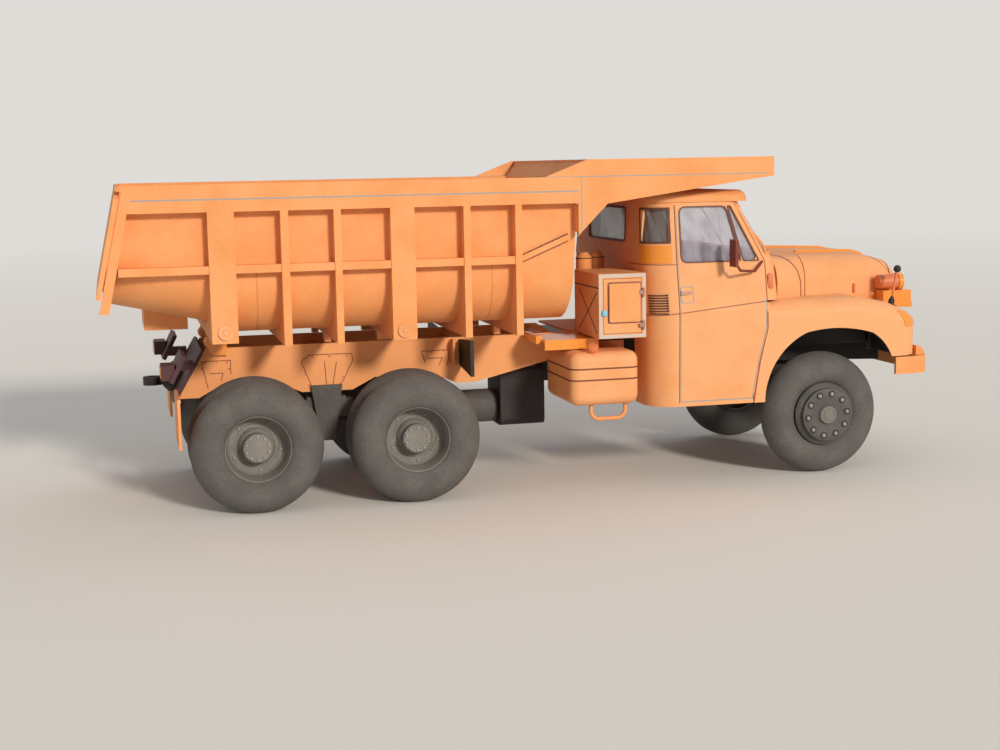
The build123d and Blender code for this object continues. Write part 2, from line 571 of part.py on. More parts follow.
def cab_solid(inset):
    wires = []
    for z, x0, x1, half, back_r, front_r in CAB_SECTIONS:
        wires.append(rounded_section(x0 + inset, x1 - inset, half - inset, back_r - inset, front_r - inset, z))
    return Solid.make_loft(wires, True)


def arch_cutter(y0, y1):
    """The wheel opening, from the cab's foot over the tyre to the bumper."""
    a = [Vector(x, min(y0, y1), z) for x, z in ARCH]
    edges = [Line(a[0], a[1]), ThreePointArc(a[1], a[2], a[3]), ThreePointArc(a[3], a[4], a[5]),
             ThreePointArc(a[5], a[6], a[7]), Line(a[7], a[8]), Line(a[8], a[0])]
    return Solid.extrude(Face(Wire(edges)), Vector(0, abs(y1 - y0), 0))


cab = cab_solid(0.0) - cab_solid(PANEL)
for side in (1, -1):
    cab -= arch_cutter(side * WING_INNER_Y, side * FAR)
cab_front_cut = [(x - SEAM, z) for x, z in WING_REAR[:-1]]
cab_front_cut += [(DOOR_FRONT, WING_TOP + SEAM), (AHEAD, WING_TOP + SEAM), (AHEAD, CAB_FOOT - 1.0),
                  (134.0, CAB_FOOT - 1.0)]
for side in (1, -1):
    cab -= side_plate(cab_front_cut, side * (WING_LAP_Y - SEAM), side * FAR)
tunnel_y, tunnel_top = TUNNEL
cab -= block(BEHIND, AHEAD, -tunnel_y, tunnel_y, BELOW, tunnel_top)
window_y, window_z0, window_z1 = REAR_WINDOW
cab -= block(BEHIND, DOOR_BACK, -window_y, window_y, window_z0, window_z1)
cab -= side_plate(WINDSCREEN, -FAR, FAR)
corner_x, corner_y, corner_z0, corner_z1 = CORNER_WINDOW
for side in (1, -1):
    cab -= block(BEHIND, corner_x, side * corner_y, side * FAR, corner_z0, corner_z1)


def grown(outline, grow):
    """An outline whose left points move back and right points forward."""
    middle = (DOOR_BACK + DOOR_FRONT) / 2
    return [(x + grow if x > middle else x - grow, z) for x, z in outline]


door_hole = side_plate(grown(DOOR, SEAM / 2), -FAR, -DOOR_IN)
door_window = fillet(side_plate(DOOR_WINDOW, -FAR, -DOOR_IN).edges().filter_by(Axis.Y), WINDOW_R)
door_window -= side_plate(VENT_BAR, -FAR, -DOOR_IN)
door_right = (cab & side_plate(grown(DOOR, -SEAM / 2), -FAR, -DOOR_IN)) - door_window
floor_y = tunnel_y + FLOOR_LAP
cab_floor = block(CAB_BACK + 0.5, 139.4, -floor_y, floor_y, tunnel_top - 0.1, tunnel_top + 0.9)
save("cab_shell", cab - door_hole - other_side(door_hole) + cab_floor)
save("door_right", door_right)
save("door_left", other_side(door_right))

# Roof, hollow, resting on the cab's walls
ROOF_BACK = CAB_BACK + 0.2
ROOF_FRONT = 135.0
ROOF_Y = EAVES_Y + 0.3
ROOF_EDGE_R = 2.4
ROOF_FRONT_R = 5.0
roof_z = CAB_EAVES + 0.05
roof_h = CAB_CROWN - CAB_EAVES
roof_section = rounded_section(ROOF_BACK, ROOF_FRONT, ROOF_Y, CORNER_R, ROOF_FRONT_R, roof_z)
roof = Solid.extrude(Face(roof_section), Vector(0, 0, roof_h))
roof = fillet(roof.edges().group_by(Axis.Z)[-1], ROOF_EDGE_R)
room_section = rounded_section(ROOF_BACK + PANEL, SCREEN_TOP_X, ROOF_Y - PANEL, CORNER_R - PANEL,
                               ROOF_FRONT_R - PANEL, roof_z - 0.1)
save("cab_roof", roof - Solid.extrude(Face(room_section), Vector(0, 0, roof_h - PANEL)))

# Glass: windscreen and door windows, in the middle of the wall's thickness
GLASS_OUT = 0.3
GLASS_IN = 0.7
GLASS_GAP = 0.12
(window_x0, sill_z), (window_x1, _), (head_x1, head_z), _ = DOOR_WINDOW
pane_outline = [(window_x0 + GLASS_GAP, sill_z + GLASS_GAP), (window_x1 - 2 * GLASS_GAP, sill_z + GLASS_GAP),
                (head_x1 - GLASS_GAP, head_z - GLASS_GAP), (window_x0 + GLASS_GAP, head_z - GLASS_GAP)]
pane = fillet(side_plate(pane_outline, -FAR, -DOOR_IN).edges().filter_by(Axis.Y), WINDOW_R)
back_low, front_low, front_high, back_high = VENT_BAR
bar_outline = [(x - GLASS_GAP, z) for x, z in (back_low, back_high)]
bar_outline += [(x + GLASS_GAP, z) for x, z in (front_high, front_low)]
glass_shell = cab_solid(GLASS_OUT) - cab_solid(GLASS_IN)
side_glass = (glass_shell & pane) - side_plate(bar_outline, -FAR, -DOOR_IN)
screen_outline = [(WINDSCREEN[0][0] + GLASS_GAP, SCREEN_FOOT + GLASS_GAP), (AHEAD, SCREEN_FOOT + GLASS_GAP),
                  (AHEAD, SCREEN_HEAD - GLASS_GAP), (WINDSCREEN[3][0] + GLASS_GAP, SCREEN_HEAD - GLASS_GAP)]
screen = glass_shell & side_plate(screen_outline, -FAR, FAR)
save("glass", screen, side_glass, other_side(side_glass))

# Seats and dashboard
SEAT_Y = (5.0, 24.0)
CUSHION = (109.5, 124.0, 44.0, 49.5)      # X range, Z range
BACKREST = (107.5, 110.5, 49.8, 64.0)
SEAT_BASE = (111.0, 122.0, 42.6, 44.0)
SEAT_R = 1.2
seat_parts = []
for side in (1, -1):
    for (x0, x1, z0, z1), inset, radius in ((CUSHION, 0, SEAT_R), (BACKREST, 0, SEAT_R), (SEAT_BASE, 2, 0)):
        piece = block(x0, x1, side * (SEAT_Y[0] + inset), side * (SEAT_Y[1] - inset), z0, z1)
        seat_parts.append(fillet(piece.edges().filter_by(Axis.Y), radius) if radius else piece)
save("seats", *seat_parts)

# Dashboard: X range, Y range, Z range
DASHBOARD = (135.6, SCREEN_FOOT_X - PANEL - SEAT_GAP, -30.0, 30.0, 53.0, 60.0)
WHEEL_CENTRE = Vector(129.6, 14.0, 58.5)
DASHBOARD_R = 1.5
STEERING_R = 6.4
GRIP = 1.0
BOSS_R = 1.2
SPOKE_R = 0.4
COLUMN_R = 0.7
COLUMN_FOOT = (136.3, 14.0, 54.0)
dashboard = fillet(block(*DASHBOARD).edges().filter_by(Axis.Y), DASHBOARD_R)
tilt = Plane(origin=WHEEL_CENTRE, z_dir=(-0.75, 0, 0.66))
steering_wheel = Solid.make_cylinder(STEERING_R, GRIP, tilt)
steering_wheel -= Solid.make_cylinder(STEERING_R - GRIP, GRIP, tilt)
steering_wheel += Solid.make_cylinder(BOSS_R, BOSS_R, tilt)
spoke_reach = STEERING_R - GRIP / 2
for angle in (90, 210, 330):
    spoke_end = (spoke_reach * cos(radians(angle)), spoke_reach * sin(radians(angle)), GRIP / 2)
    steering_wheel += tilt.location * rod((0, 0, GRIP / 2), spoke_end, SPOKE_R)
save("dashboard", dashboard + steering_wheel + rod(WHEEL_CENTRE, COLUMN_FOOT, COLUMN_R))

# Cowl and bonnet
HOOD_CROWN = 0.7      # rise of the top between its shoulders


def hood_section(x, half, z_low, z_top, corner):
    """An upright outline of the bonnet: flat sides, round shoulders, slightly crowned top."""
    k = corner * (1 - cos(radians(45)))
    a = [Vector(x, -half, z_low), Vector(x, -half, z_top - corner), Vector(x, -half + k, z_top - k),
         Vector(x, -half + corner, z_top), Vector(x, 0, z_top + HOOD_CROWN), Vector(x, half - corner, z_top),
         Vector(x, half - k, z_top - k), Vector(x, half, z_top - corner), Vector(x, half, z_low)]
    edges = [Line(a[0], a[1]), ThreePointArc(a[1], a[2], a[3]), ThreePointArc(a[3], a[4], a[5]),
             ThreePointArc(a[5], a[6], a[7]), Line(a[7], a[8]), Line(a[8], a[0])]
    return Wire(edges)


def hood(sections, inset):
    wires = []
    for x, half, z_low, z_top, corner in sections:
        wires.append(hood_section(x, half - inset, z_low, z_top - inset, corner - inset))
    return Solid.make_loft(wires, True)


def moved_sections(sections, z_low, first, last):
    """The same sections with another foot, the first moved back and the last forward, to cut with."""
    shifts = [-first] + [0.0] * (len(sections) - 2) + [last]
    moved = []
    for (x, half, _, z_top, corner), shift in zip(sections, shifts):
        moved.append((x + shift, half, z_low, z_top, corner))
    return moved


# Sections: X, half width, foot, top, shoulder radius
COWL = ((COWL_BACK, 34.0, 44.0, 60.6, 7.0), (COWL_FRONT, BONNET_BACK_Y, 44.0, 60.6, 7.0))
BONNET = ((COWL_FRONT + SEAM, BONNET_BACK_Y, BONNET_FOOT, 60.6, 7.0), (176.0, 22.0, BONNET_FOOT, 60.0, 6.5),
          (BONNET_FRONT, BONNET_NOSE_Y, BONNET_FOOT, 58.0, 6.0))
MASK = ((BONNET_FRONT + SEAM, BONNET_NOSE_Y, 35.0, 57.8, 5.6),
        (MASK_FRONT, BONNET_NOSE_Y - 1.6, 35.0, 54.8, 4.0))
HOOD_LOW = 40.0       # below the foot of cowl and bonnet, to cut to
HOOD_PAST = 0.2       # past their ends
save("cowl", hood(COWL, 0.0) - hood(moved_sections(COWL, HOOD_LOW, HOOD_PAST, HOOD_PAST), PANEL))
save("bonnet", hood(BONNET, 0.0) - hood(moved_sections(BONNET, HOOD_LOW, HOOD_PAST, HOOD_PAST), PANEL))

# Nose mask with its grille
SLOTS = 7
SLOT_PITCH = 4.4
SLOT_HALF = 1.3
SLOT_Z = (37.0, 51.5)
MASK_WALL = 0.9
MASK_EDGE = 2.6
MASK_ROOM_Z = (30.0, 53.4)
mask_room_y = BONNET_NOSE_Y - MASK_EDGE
mask = hood(MASK, 0.0) - block(BONNET_FRONT, MASK_FRONT - MASK_WALL, -mask_room_y, mask_room_y, *MASK_ROOM_Z)
for index in range(SLOTS):
    y = (index - SLOTS // 2) * SLOT_PITCH
    mask -= block(BONNET_FRONT, NOSE_X, y - SLOT_HALF, y + SLOT_HALF, *SLOT_Z)
save("grille", mask)

# Wings
# Wing from the side: X, Z. It starts along the door's front edge
WING_SIDE = WING_REAR + [(166.0, WING_TOP), (175.0, 47.6), (181.2, 44.8), (183.6, 42.4), (WING_FRONT, 39.0),
                         (WING_FRONT, WING_FOOT), (150.0, WING_FOOT), (150.0, CAB_FOOT)]
WING_ROOM = [(BEHIND, BELOW), (BEHIND, WING_TOP - PANEL), (165.8, WING_TOP - PANEL), (174.7, 46.6),
             (180.7, 43.9), (182.8, 41.8), (WING_FRONT - PANEL, 38.8), (WING_FRONT - PANEL, BELOW)]
WING_EDGE_R = 4.2
STRUT_Y = 30.0        # the wing's arch is cut from its side in to here
ROOM_GAP = 0.25
HOOD_ROOM_Z = (20.0, 61.4)
# What the wings leave free round cowl, bonnet and mask: X, half width, foot, top, shoulder radius
room_stations = [(DOOR_BACK, WING_LAP_Y, 7.0), (COWL_BACK - 0.3, WING_LAP_Y, 7.0)]
room_stations += [(x, half, corner) for x, half, _, _, corner in (COWL[1],) + BONNET[1:]]
room_stations += [(NOSE_X, BONNET_NOSE_Y, 6.0)]
HOOD_ROOM = [(x, half + ROOM_GAP, *HOOD_ROOM_Z, corner) for x, half, corner in room_stations]


def plan_prism(x0, x1, y_outer, corner):
    """An upright prism over the wing's plan: square behind, rounded at the front outer corner."""
    k = corner * (1 - cos(radians(45)))
    y_inner = WING_INNER_Y - 10.0
    a = [Vector(x0, -y_inner, BELOW), Vector(x0, -y_outer, BELOW), Vector(x1 - corner, -y_outer, BELOW),
         Vector(x1 - k, -y_outer + k, BELOW), Vector(x1, -y_outer + corner, BELOW), Vector(x1, -y_inner, BELOW)]
    edges = [Line(a[0], a[1]), Line(a[1], a[2]), ThreePointArc(a[2], a[3], a[4]), Line(a[4], a[5]),
             Line(a[5], a[0])]
    return Solid.extrude(Face(Wire(edges)), Vector(0, 0, BONNET_FOOT))


def top_edges(body, y):
    """The long edges between a wing's top and its outer side."""
    side = body.edges().filter_by(lambda edge: abs(edge.center().Y + y) < 0.01)
    return side.filter_by(lambda edge: edge.center().Z > ARCH_TOP and edge.center().X > COWL_BACK)


def wing():
    """The right wing: hollow, rounded top and front corner, open over the wheel."""
    body = side_plate(WING_SIDE, -CAB_Y, -WING_INNER_Y + 6.0)
    body = fillet(top_edges(body, CAB_Y), WING_EDGE_R) & plan_prism(BEHIND, WING_FRONT, CAB_Y, WING_CORNER_R)
    room_y = CAB_Y - PANEL
    room = side_plate(WING_ROOM, -room_y, -WING_INNER_Y + 7.0)
    room = fillet(top_edges(room, room_y), WING_EDGE_R - PANEL)
    room = room & plan_prism(BEHIND, WING_FRONT - PANEL, room_y, WING_CORNER_R - PANEL)
    return body - room - arch_cutter(-FAR, -STRUT_Y) - hood(HOOD_ROOM, 0.0)


right_wing = wing()
save("wings", other_side(right_wing), right_wing)

# Bumper: a channel with rounded corners and a top that shows in front of the wings
BUMPER_Y = 37.6
BUMPER_BACK = 176.9
BUMPER_Z = (27.4, 32.2)
BUMPER_R = 5.0
HUMP_Y = 33.6
# Rounded rise of its top towards the wings, from the side: X, Z
BUMPER_HUMP = [(WING_FRONT + SEAM, 32.0), (NOSE_X - 0.1, 32.0), (187.6, 33.4), (186.6, 34.4),
               (WING_FRONT + SEAM, 34.7)]
BUMPER_TOP_BACK = FRAME_END + SEAT_GAP


def front_rounded(body, radius):
    """Rounds the two upright front edges."""
    upright = body.edges().filter_by(Axis.Z)
    return fillet(upright.group_by(Axis.X)[-1], radius)


bumper = front_rounded(block(BUMPER_BACK, NOSE_X, -BUMPER_Y, BUMPER_Y, *BUMPER_Z), BUMPER_R)
inner_half = BUMPER_Y - PANEL
bumper_room = block(AHEAD, NOSE_X - PANEL, -inner_half, inner_half, BELOW, BUMPER_Z[1] - CARD)
bumper -= front_rounded(bumper_room, BUMPER_R - PANEL)
bumper -= block(AHEAD, BUMPER_TOP_BACK, -inner_half, inner_half, BELOW, WING_TOP)
bumper += side_plate(BUMPER_HUMP, -HUMP_Y, HUMP_Y)
save("bumper", bumper)

# Lamp beam: a box at each side of the nose, joined by a bar in front of the mask
BEAM_SIDE = [(178.8, 46.9), (184.6, 44.9), (187.5, 44.9), (187.5, 49.8), (178.8, 49.8)]
BEAM_Y = (21.7, 26.2)
BEAM_BAR = (MASK_FRONT + 0.3, 187.9, 44.9, 46.4)
bar_x0, bar_x1, bar_z0, bar_z1 = BEAM_BAR
beam = block(bar_x0, bar_x1, -BEAM_Y[1], BEAM_Y[1], bar_z0, bar_z1)
for side in (1, -1):
    beam += side_plate(BEAM_SIDE, side * BEAM_Y[0], side * BEAM_Y[1])
save("lamp_beam", beam)

# Lamps: in the wings, on the beam, and the marker rods
HEADLAMP = (26.0, 38.6, 3.3, 1.2)             # Y, Z, radius, depth
AUX_LAMP = (178.0, 24.0, 52.2, 1.9, 2.4, 7.0)     # rear X, Y, Z, rear and front radius, length
MARKER_Y = 31.0
MARKER_FOOT = (178.6, 46.4)
MARKER_TOP = (180.4, 56.3)
MARKER_R = 0.32
MARKER_BOSS = (0.7, 1.4)       # radius, height
BALL_R = 1.0
AUX_STEM = (4.0, 49.8, 0.8)    # X from the bucket's rear, foot, radius
lamps = []
for side in (1, -1):
    y, z, radius, depth = HEADLAMP
    lamps.append(rod((WING_FRONT + 0.02, side * y, z), (WING_FRONT + depth, side * y, z), radius))
    x, y, z, r0, r1, length = AUX_LAMP
    bucket = Solid.make_cone(r0, r1, length, Plane(origin=(x, side * y, z), z_dir=(1, 0, 0)))
    stem_x, stem_foot, stem_r = AUX_STEM
    lamps.append(bucket + rod((x + stem_x, side * y, stem_foot), (x + stem_x, side * y, z), stem_r))
    foot_x, foot_z = MARKER_FOOT
    top_x, top_z = MARKER_TOP
    marker = rod((foot_x, side * MARKER_Y, foot_z), (top_x, side * MARKER_Y, top_z), MARKER_R)
    boss_r, boss_h = MARKER_BOSS
    marker += rod((foot_x, side * MARKER_Y, foot_z), (foot_x + 0.3, side * MARKER_Y, foot_z + boss_h), boss_r)
    lamps.append(marker + Pos(top_x, side * MARKER_Y, top_z) * Sphere(BALL_R))
save("front_lamps", *lamps)

# Mirrors
MIRROR_Y = 41.4
MIRROR_PLATE = (0.8, 4.2, 7.2)
MIRROR_CENTRE = (126.7, 62.9)
# Wire from the pillar: X, Y, Z
MIRROR_WIRE = ((137.0, 36.5, 60.2), (134.2, 38.0, 57.7), (128.6, MIRROR_Y, 58.2), (126.9, MIRROR_Y, 60.6))
WIRE_R = 0.35


def mirror_set(side):
    """A bent wire from the pillar, with the plate on its end."""
    points = [(x, side * y, z) for x, y, z in MIRROR_WIRE]
    shape = rod(points[0], points[1], WIRE_R)
    for start, end in zip(points[1:], points[2:]):
        shape += rod(start, end, WIRE_R) + Pos(*start) * Sphere(WIRE_R)
    x, z = MIRROR_CENTRE
    return shape + Pos(x, side * MIRROR_Y, z) * Box(*MIRROR_PLATE)


save("mirrors", mirror_set(1), mirror_set(-1))

# Body
TUB_Y = BODY_Y - RIB_DEPTH
# Tub from front to tail: X, floor, how far the foot is further back
TUB_SECTIONS = ((TUB_FRONT, TUB_FLOOR, TUB_FRONT_LEAN), (STEP_FRONT, TUB_FLOOR, 0.0),
                (STEP_REAR, STEP_FLOOR, 0.0), (TAIL_TOP_X, TAIL_FLOOR, TAIL_SLANT))


def tub_section(x, half, floor, top, corner, lean):
    """A U outline: straight sides, large corners, flat floor. lean moves the foot back."""
    k = corner * (1 - cos(radians(45)))

    def at(y, z):
        return Vector(x - lean * (BODY_TOP - z) / (BODY_TOP - TUB_FLOOR), y, z)

    a = [at(-half, top), at(-half, floor + corner), at(-half + k, floor + k), at(-half + corner, floor),
         at(half - corner, floor), at(half - k, floor + k), at(half, floor + corner), at(half, top)]
    edges = [Line(a[0], a[1]), ThreePointArc(a[1], a[2], a[3]), Line(a[3], a[4]),
             ThreePointArc(a[4], a[5], a[6]), Line(a[6], a[7]), Line(a[7], a[0])]
    return Wire(edges)


def tub_solid(inset, top, reach):
    """The tub's outer form, moved in by an inset and longer by reach at both ends."""
    last = len(TUB_SECTIONS) - 1
    wires = []
    for index, (x, floor, lean) in enumerate(TUB_SECTIONS):
        shift = reach if index == 0 else -reach if index == last else 0.0
        wires.append(tub_section(x + shift, TUB_Y - inset, floor + inset, top, TUB_CORNER - inset, lean))
    parts = [Solid.make_loft([rear, front], True) for front, rear in zip(wires[:-1], wires[1:])]
    return parts[0] + parts[1:]


PAST = 0.4            # past the tub's ends, to cut with
tub = tub_solid(0.0, BODY_TOP, 0.0) - tub_solid(CARD, BODY_TOP + 1.0, PAST)
save("tub", tub)


def tail_x(z):
    """The slanted line along which the rails and the last ribs end."""
    return TAIL_TOP_X - TAIL_LEAN * (BODY_TOP - z)


def front_x(z):
    """The slanted line along which the tub ends at the front."""
    return TUB_FRONT - TUB_FRONT_LEAN * (BODY_TOP - z) / (BODY_TOP - TUB_FLOOR)


# Top rails, with the ears that hold the tailgate's pins
GATE_AXIS_X = TAIL_TOP_X - SEAT_GAP - 0.15 - GATE_BEAD_R
GATE_AXIS_Z = BODY_TOP - GATE_BEAD_R - 0.05
GATE_EAR_Y = BODY_Y - 1.9
GATE_EAR_LAP = 1.0    # how far the ear reaches into the rail
rails = []
for side in (1, -1):
    outline = [(tail_x(RAIL_Z), RAIL_Z), (RAIL_END, RAIL_Z), (RAIL_END, BODY_TOP), (TAIL_TOP_X, BODY_TOP)]
    rail = side_plate(outline, side * TUB_Y, side * BODY_Y)
    y0, y1 = sorted((side * GATE_EAR_Y, side * BODY_Y))
    ear = block(GATE_AXIS_X, TAIL_TOP_X + GATE_EAR_LAP, y0, y1, GATE_AXIS_Z - GATE_BEAD_R,
                GATE_AXIS_Z + GATE_BEAD_R)
    ear += rod((GATE_AXIS_X, y0, GATE_AXIS_Z), (GATE_AXIS_X, y1, GATE_AXIS_Z), GATE_BEAD_R)
    bore = rod((GATE_AXIS_X, y0 - 1, GATE_AXIS_Z), (GATE_AXIS_X, y1 + 1, GATE_AXIS_Z), GATE_PIN_R + RUN_FIT)
    rails.append(rail + ear - bore)
save("body_rails", *rails)

# Ribs round the tub: rear face, front face, foot, cap (X, Z) on a wide one
RIBS = ((-10.5, -4.0, 44.6, (-7.2, 47.3)), (7.3, 9.3, RIB_FOOT, None), (20.6, 22.4, RIB_FOOT, None),
        (34.9, 41.1, 43.6, (37.9, 46.0)), (53.8, 55.6, RIB_FOOT, None), (67.4, 69.2, RIB_FOOT, None))
CAP_R_RIB = 1.5
CAP_PROUD = 0.5
tub_outer = tub_solid(0.0, BODY_TOP + 5.0, 0.0)
ribs = []
for x0, x1, foot, cap in RIBS:
    web = block(x0, x1, -BODY_Y, BODY_Y, foot, RAIL_Z) - tub_outer
    if cap:
        for side in (1, -1):
            y_face = side * (BODY_Y - 0.2)
            web += rod((cap[0], y_face, cap[1]), (cap[0], side * (BODY_Y + CAP_PROUD), cap[1]), CAP_R_RIB)
    ribs.append(web)
for side in (1, -1):
    top_x, foot_x = tail_x(RAIL_Z), tail_x(TAIL_RIB_FOOT)
    outline = [(top_x + TAIL_RIB_W, RAIL_Z), (top_x, RAIL_Z), (foot_x, TAIL_RIB_FOOT),
               (foot_x + TAIL_RIB_W, TAIL_RIB_FOOT)]
    ribs.append(side_plate(outline, side * TUB_Y, side * BODY_Y))
save("ribs", *ribs)

# Stiffeners between the ribs, and the slanted one at the front
STIFF_TAIL = -32.2
BRACE_T = 0.8
BRACE_RISE = 0.413
BRACE_H = 2.1
bays = [(STIFF_TAIL, RIBS[0][0])] + [(left[1], right[0]) for left, right in zip(RIBS[:-1], RIBS[1:])]
BRACE_END_X = 82.4
brace_start_x, brace_low = RIBS[-1][1], STIFF_LOW - 0.2
brace_high = brace_low + BRACE_RISE * (BRACE_END_X - brace_start_x)
brace = [(brace_start_x, brace_low), (BRACE_END_X, brace_high), (BRACE_END_X, brace_high + BRACE_H),
         (brace_start_x, brace_low + BRACE_H)]
stiffeners = []
for side in (1, -1):
    for x0, x1 in bays:
        stiffeners.append(block(x0, x1, side * TUB_Y, side * (BODY_Y - 0.3), STIFF_LOW, STIFF_HIGH))
    stiffeners.append(side_plate(brace, side * TUB_Y, side * (TUB_Y + BRACE_T)))
save("stiffeners", *stiffeners)

# Front wall inside the tub's end, going up into the canopy's sloped rear
WALL_FIT = 0.02       # between the wall's edge and the tub
WALL_FOOT = TUB_FLOOR + 0.1
WALL_TOP = (87.4, CANOPY_TOP - CARD)
front_wall = side_plate([(front_x(WALL_FOOT) - PANEL, WALL_FOOT), (front_x(WALL_FOOT), WALL_FOOT),
                         (TUB_FRONT + 0.2, BODY_TOP - 0.4), (WALL_TOP[0] + PANEL, WALL_TOP[1]), WALL_TOP,
                         (TUB_FRONT - PANEL, BODY_TOP - 0.2)], -TUB_Y, TUB_Y)
wall_room = tub_solid(CARD + WALL_FIT, BODY_TOP + 10.0, 3.0)
wall_room += block(TUB_FRONT - 5.0, CANOPY_FRONT, -TUB_Y, TUB_Y, BODY_TOP - 2.0, CANOPY_TOP)
save("front_wall", (front_wall & wall_room) - tub)

# Canopy over the cab: top, front lip, two stringers, and a side plate whose rear edge turns in to the tub
CANOPY_LIP = CANOPY_TOP - 5.1
CANOPY_SIDE = [(RAIL_END, RAIL_Z - 8.4), (92.4, RAIL_Z - 0.3), (CANOPY_FRONT, CANOPY_LIP),
               (CANOPY_FRONT, CANOPY_TOP), (87.0, CANOPY_TOP), (75.4, BODY_TOP), (RAIL_END, BODY_TOP)]
STRINGER_Y = 18.0
STRINGER = [(85.5, RAIL_Z - 0.6), (92.4, RAIL_Z + 0.9), (CANOPY_FRONT - CARD, CANOPY_LIP + 1.2),
            (CANOPY_FRONT - CARD, CANOPY_TOP - CARD), (89.0, CANOPY_TOP - CARD), (86.0, BODY_TOP - 0.6)]
TURNED_EDGE = (84.2, 85.0, RAIL_Z - 7.5, RAIL_Z - 0.3)
canopy_y = BODY_Y - CARD
canopy = block(WALL_TOP[0] + 0.2, CANOPY_FRONT, -canopy_y, canopy_y, CANOPY_TOP - CARD, CANOPY_TOP)
canopy += block(CANOPY_FRONT - CARD, CANOPY_FRONT, -canopy_y, canopy_y, CANOPY_LIP, CANOPY_TOP - CARD)
edge_x0, edge_x1, edge_z0, edge_z1 = TURNED_EDGE
for side in (1, -1):
    canopy += side_plate(CANOPY_SIDE, side * canopy_y, side * BODY_Y)
    canopy += block(edge_x0, edge_x1, side * (TUB_Y + 0.2), side * (canopy_y + 0.1), edge_z0, edge_z1)
    canopy += side_plate(STRINGER, side * STRINGER_Y - CARD, side * STRINGER_Y + CARD)
save("canopy", canopy)

# Short runners under the ribs: hinge lugs at the rear one, pads that rest on the frame at three others
LUG_Y = (INNER_Y - 2.4, INNER_Y - 0.2)
LUG_BACK = TIP_X - 0.9
LUG_EYE_R = 1.5
PAD_Y = (FRAME_Y - 2.6, FRAME_Y - 0.1)
PAD_RIBS = (2, 3, 5)
runners = []
for side in (1, -1):
    y0, y1 = sorted((side * LUG_Y[0], side * LUG_Y[1]))
    rib_front, rib_foot = RIBS[0][1], RIBS[0][2]
    lug = block(LUG_BACK, rib_front, y0, y1, TIP_Z, rib_foot)
    lug += rod((TIP_X, y0, TIP_Z), (TIP_X, y1, TIP_Z), LUG_EYE_R)
    runners.append(lug - rod((TIP_X, y0 - 1, TIP_Z), (TIP_X, y1 + 1, TIP_Z), TIP_PIN_R + RUN_FIT))
    for index in PAD_RIBS:
        x0, x1, foot, _ = RIBS[index]
        runners.append(block(x0, x1, side * PAD_Y[0], side * PAD_Y[1], FRAME_TOP + SEAT_GAP, foot))
save("runners", *runners)

# Box under the tail: X range, Y range, Z range before the tub is cut from it
TAIL_BOX = (-26.2, -15.1, -14.0, 14.0, 46.2, 53.0)
save("tail_box", block(*TAIL_BOX) - tub_outer)

# Tailgate: a flat sheet hung from pins at the ends of its rolled top edge
GATE_NECK_Y = GATE_EAR_Y - SEAT_GAP
GATE_NECK_Z = GATE_AXIS_Z - 2.4      # the sheet is narrower above, between the ears
GATE_GAP = 0.315                     # behind the rails' slanted ends


def gate_sheet(z_top, half_width):
    """The sheet from its foot up to z_top, the gap behind the tail's slanted line."""
    front = [(tail_x(z) - GATE_GAP, z) for z in (z_top, GATE_FOOT)]
    back = [(x - GATE_T, z) for x, z in reversed(front)]
    return side_plate(front + back, -half_width, half_width)


tailgate = gate_sheet(GATE_AXIS_Z, GATE_NECK_Y) + gate_sheet(GATE_NECK_Z, BODY_Y)
for reach, radius in ((GATE_NECK_Y, GATE_BEAD_R), (BODY_Y, GATE_PIN_R)):
    tailgate += rod((GATE_AXIS_X, -reach, GATE_AXIS_Z), (GATE_AXIS_X, reach, GATE_AXIS_Z), radius)
save("tailgate", tailgate)
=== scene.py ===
from math import cos, pi, radians, sin

import bpy
from mathutils import Matrix, Vector


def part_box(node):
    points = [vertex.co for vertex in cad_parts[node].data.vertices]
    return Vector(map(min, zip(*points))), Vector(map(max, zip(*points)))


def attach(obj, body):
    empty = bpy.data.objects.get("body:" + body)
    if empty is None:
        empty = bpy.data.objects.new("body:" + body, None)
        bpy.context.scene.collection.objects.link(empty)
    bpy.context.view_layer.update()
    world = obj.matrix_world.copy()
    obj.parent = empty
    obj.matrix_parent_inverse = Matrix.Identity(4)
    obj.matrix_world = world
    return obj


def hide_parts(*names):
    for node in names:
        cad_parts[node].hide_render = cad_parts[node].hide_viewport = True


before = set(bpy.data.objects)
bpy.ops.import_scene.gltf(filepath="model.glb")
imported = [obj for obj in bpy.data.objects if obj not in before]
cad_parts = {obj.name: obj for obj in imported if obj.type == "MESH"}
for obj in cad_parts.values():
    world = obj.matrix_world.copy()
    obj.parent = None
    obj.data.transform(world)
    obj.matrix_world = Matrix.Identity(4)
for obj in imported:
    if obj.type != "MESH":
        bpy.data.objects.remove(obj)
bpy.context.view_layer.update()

# Everything is in metres, in the model's frame: +X forward, +Y to its left, +Z up.
# Places are written in millimetres forward of the rear axle, and at() moves them into that frame.
# What comes in pairs is modelled on the right side, at -Y, and mirrored.
MM = 0.001
REAR_AXLE_X = sum(corner[0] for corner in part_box("tyres_rear_right")) / 2
MIRROR = Matrix.Scale(-1, 4, (0, 1, 0))


def at(x, y, z):
    return Vector((REAR_AXLE_X + x * MM, y * MM, z * MM))


def linear(hex_colour):
    """An sRGB hex colour as the linear values that a shader takes."""
    values = []
    for digit in (1, 3, 5):
        level = int(hex_colour[digit:digit + 2], 16) / 255
        values.append(level / 12.92 if level <= 0.04045 else ((level + 0.055) / 1.055) ** 2.4)
    return (*values, 1.0)


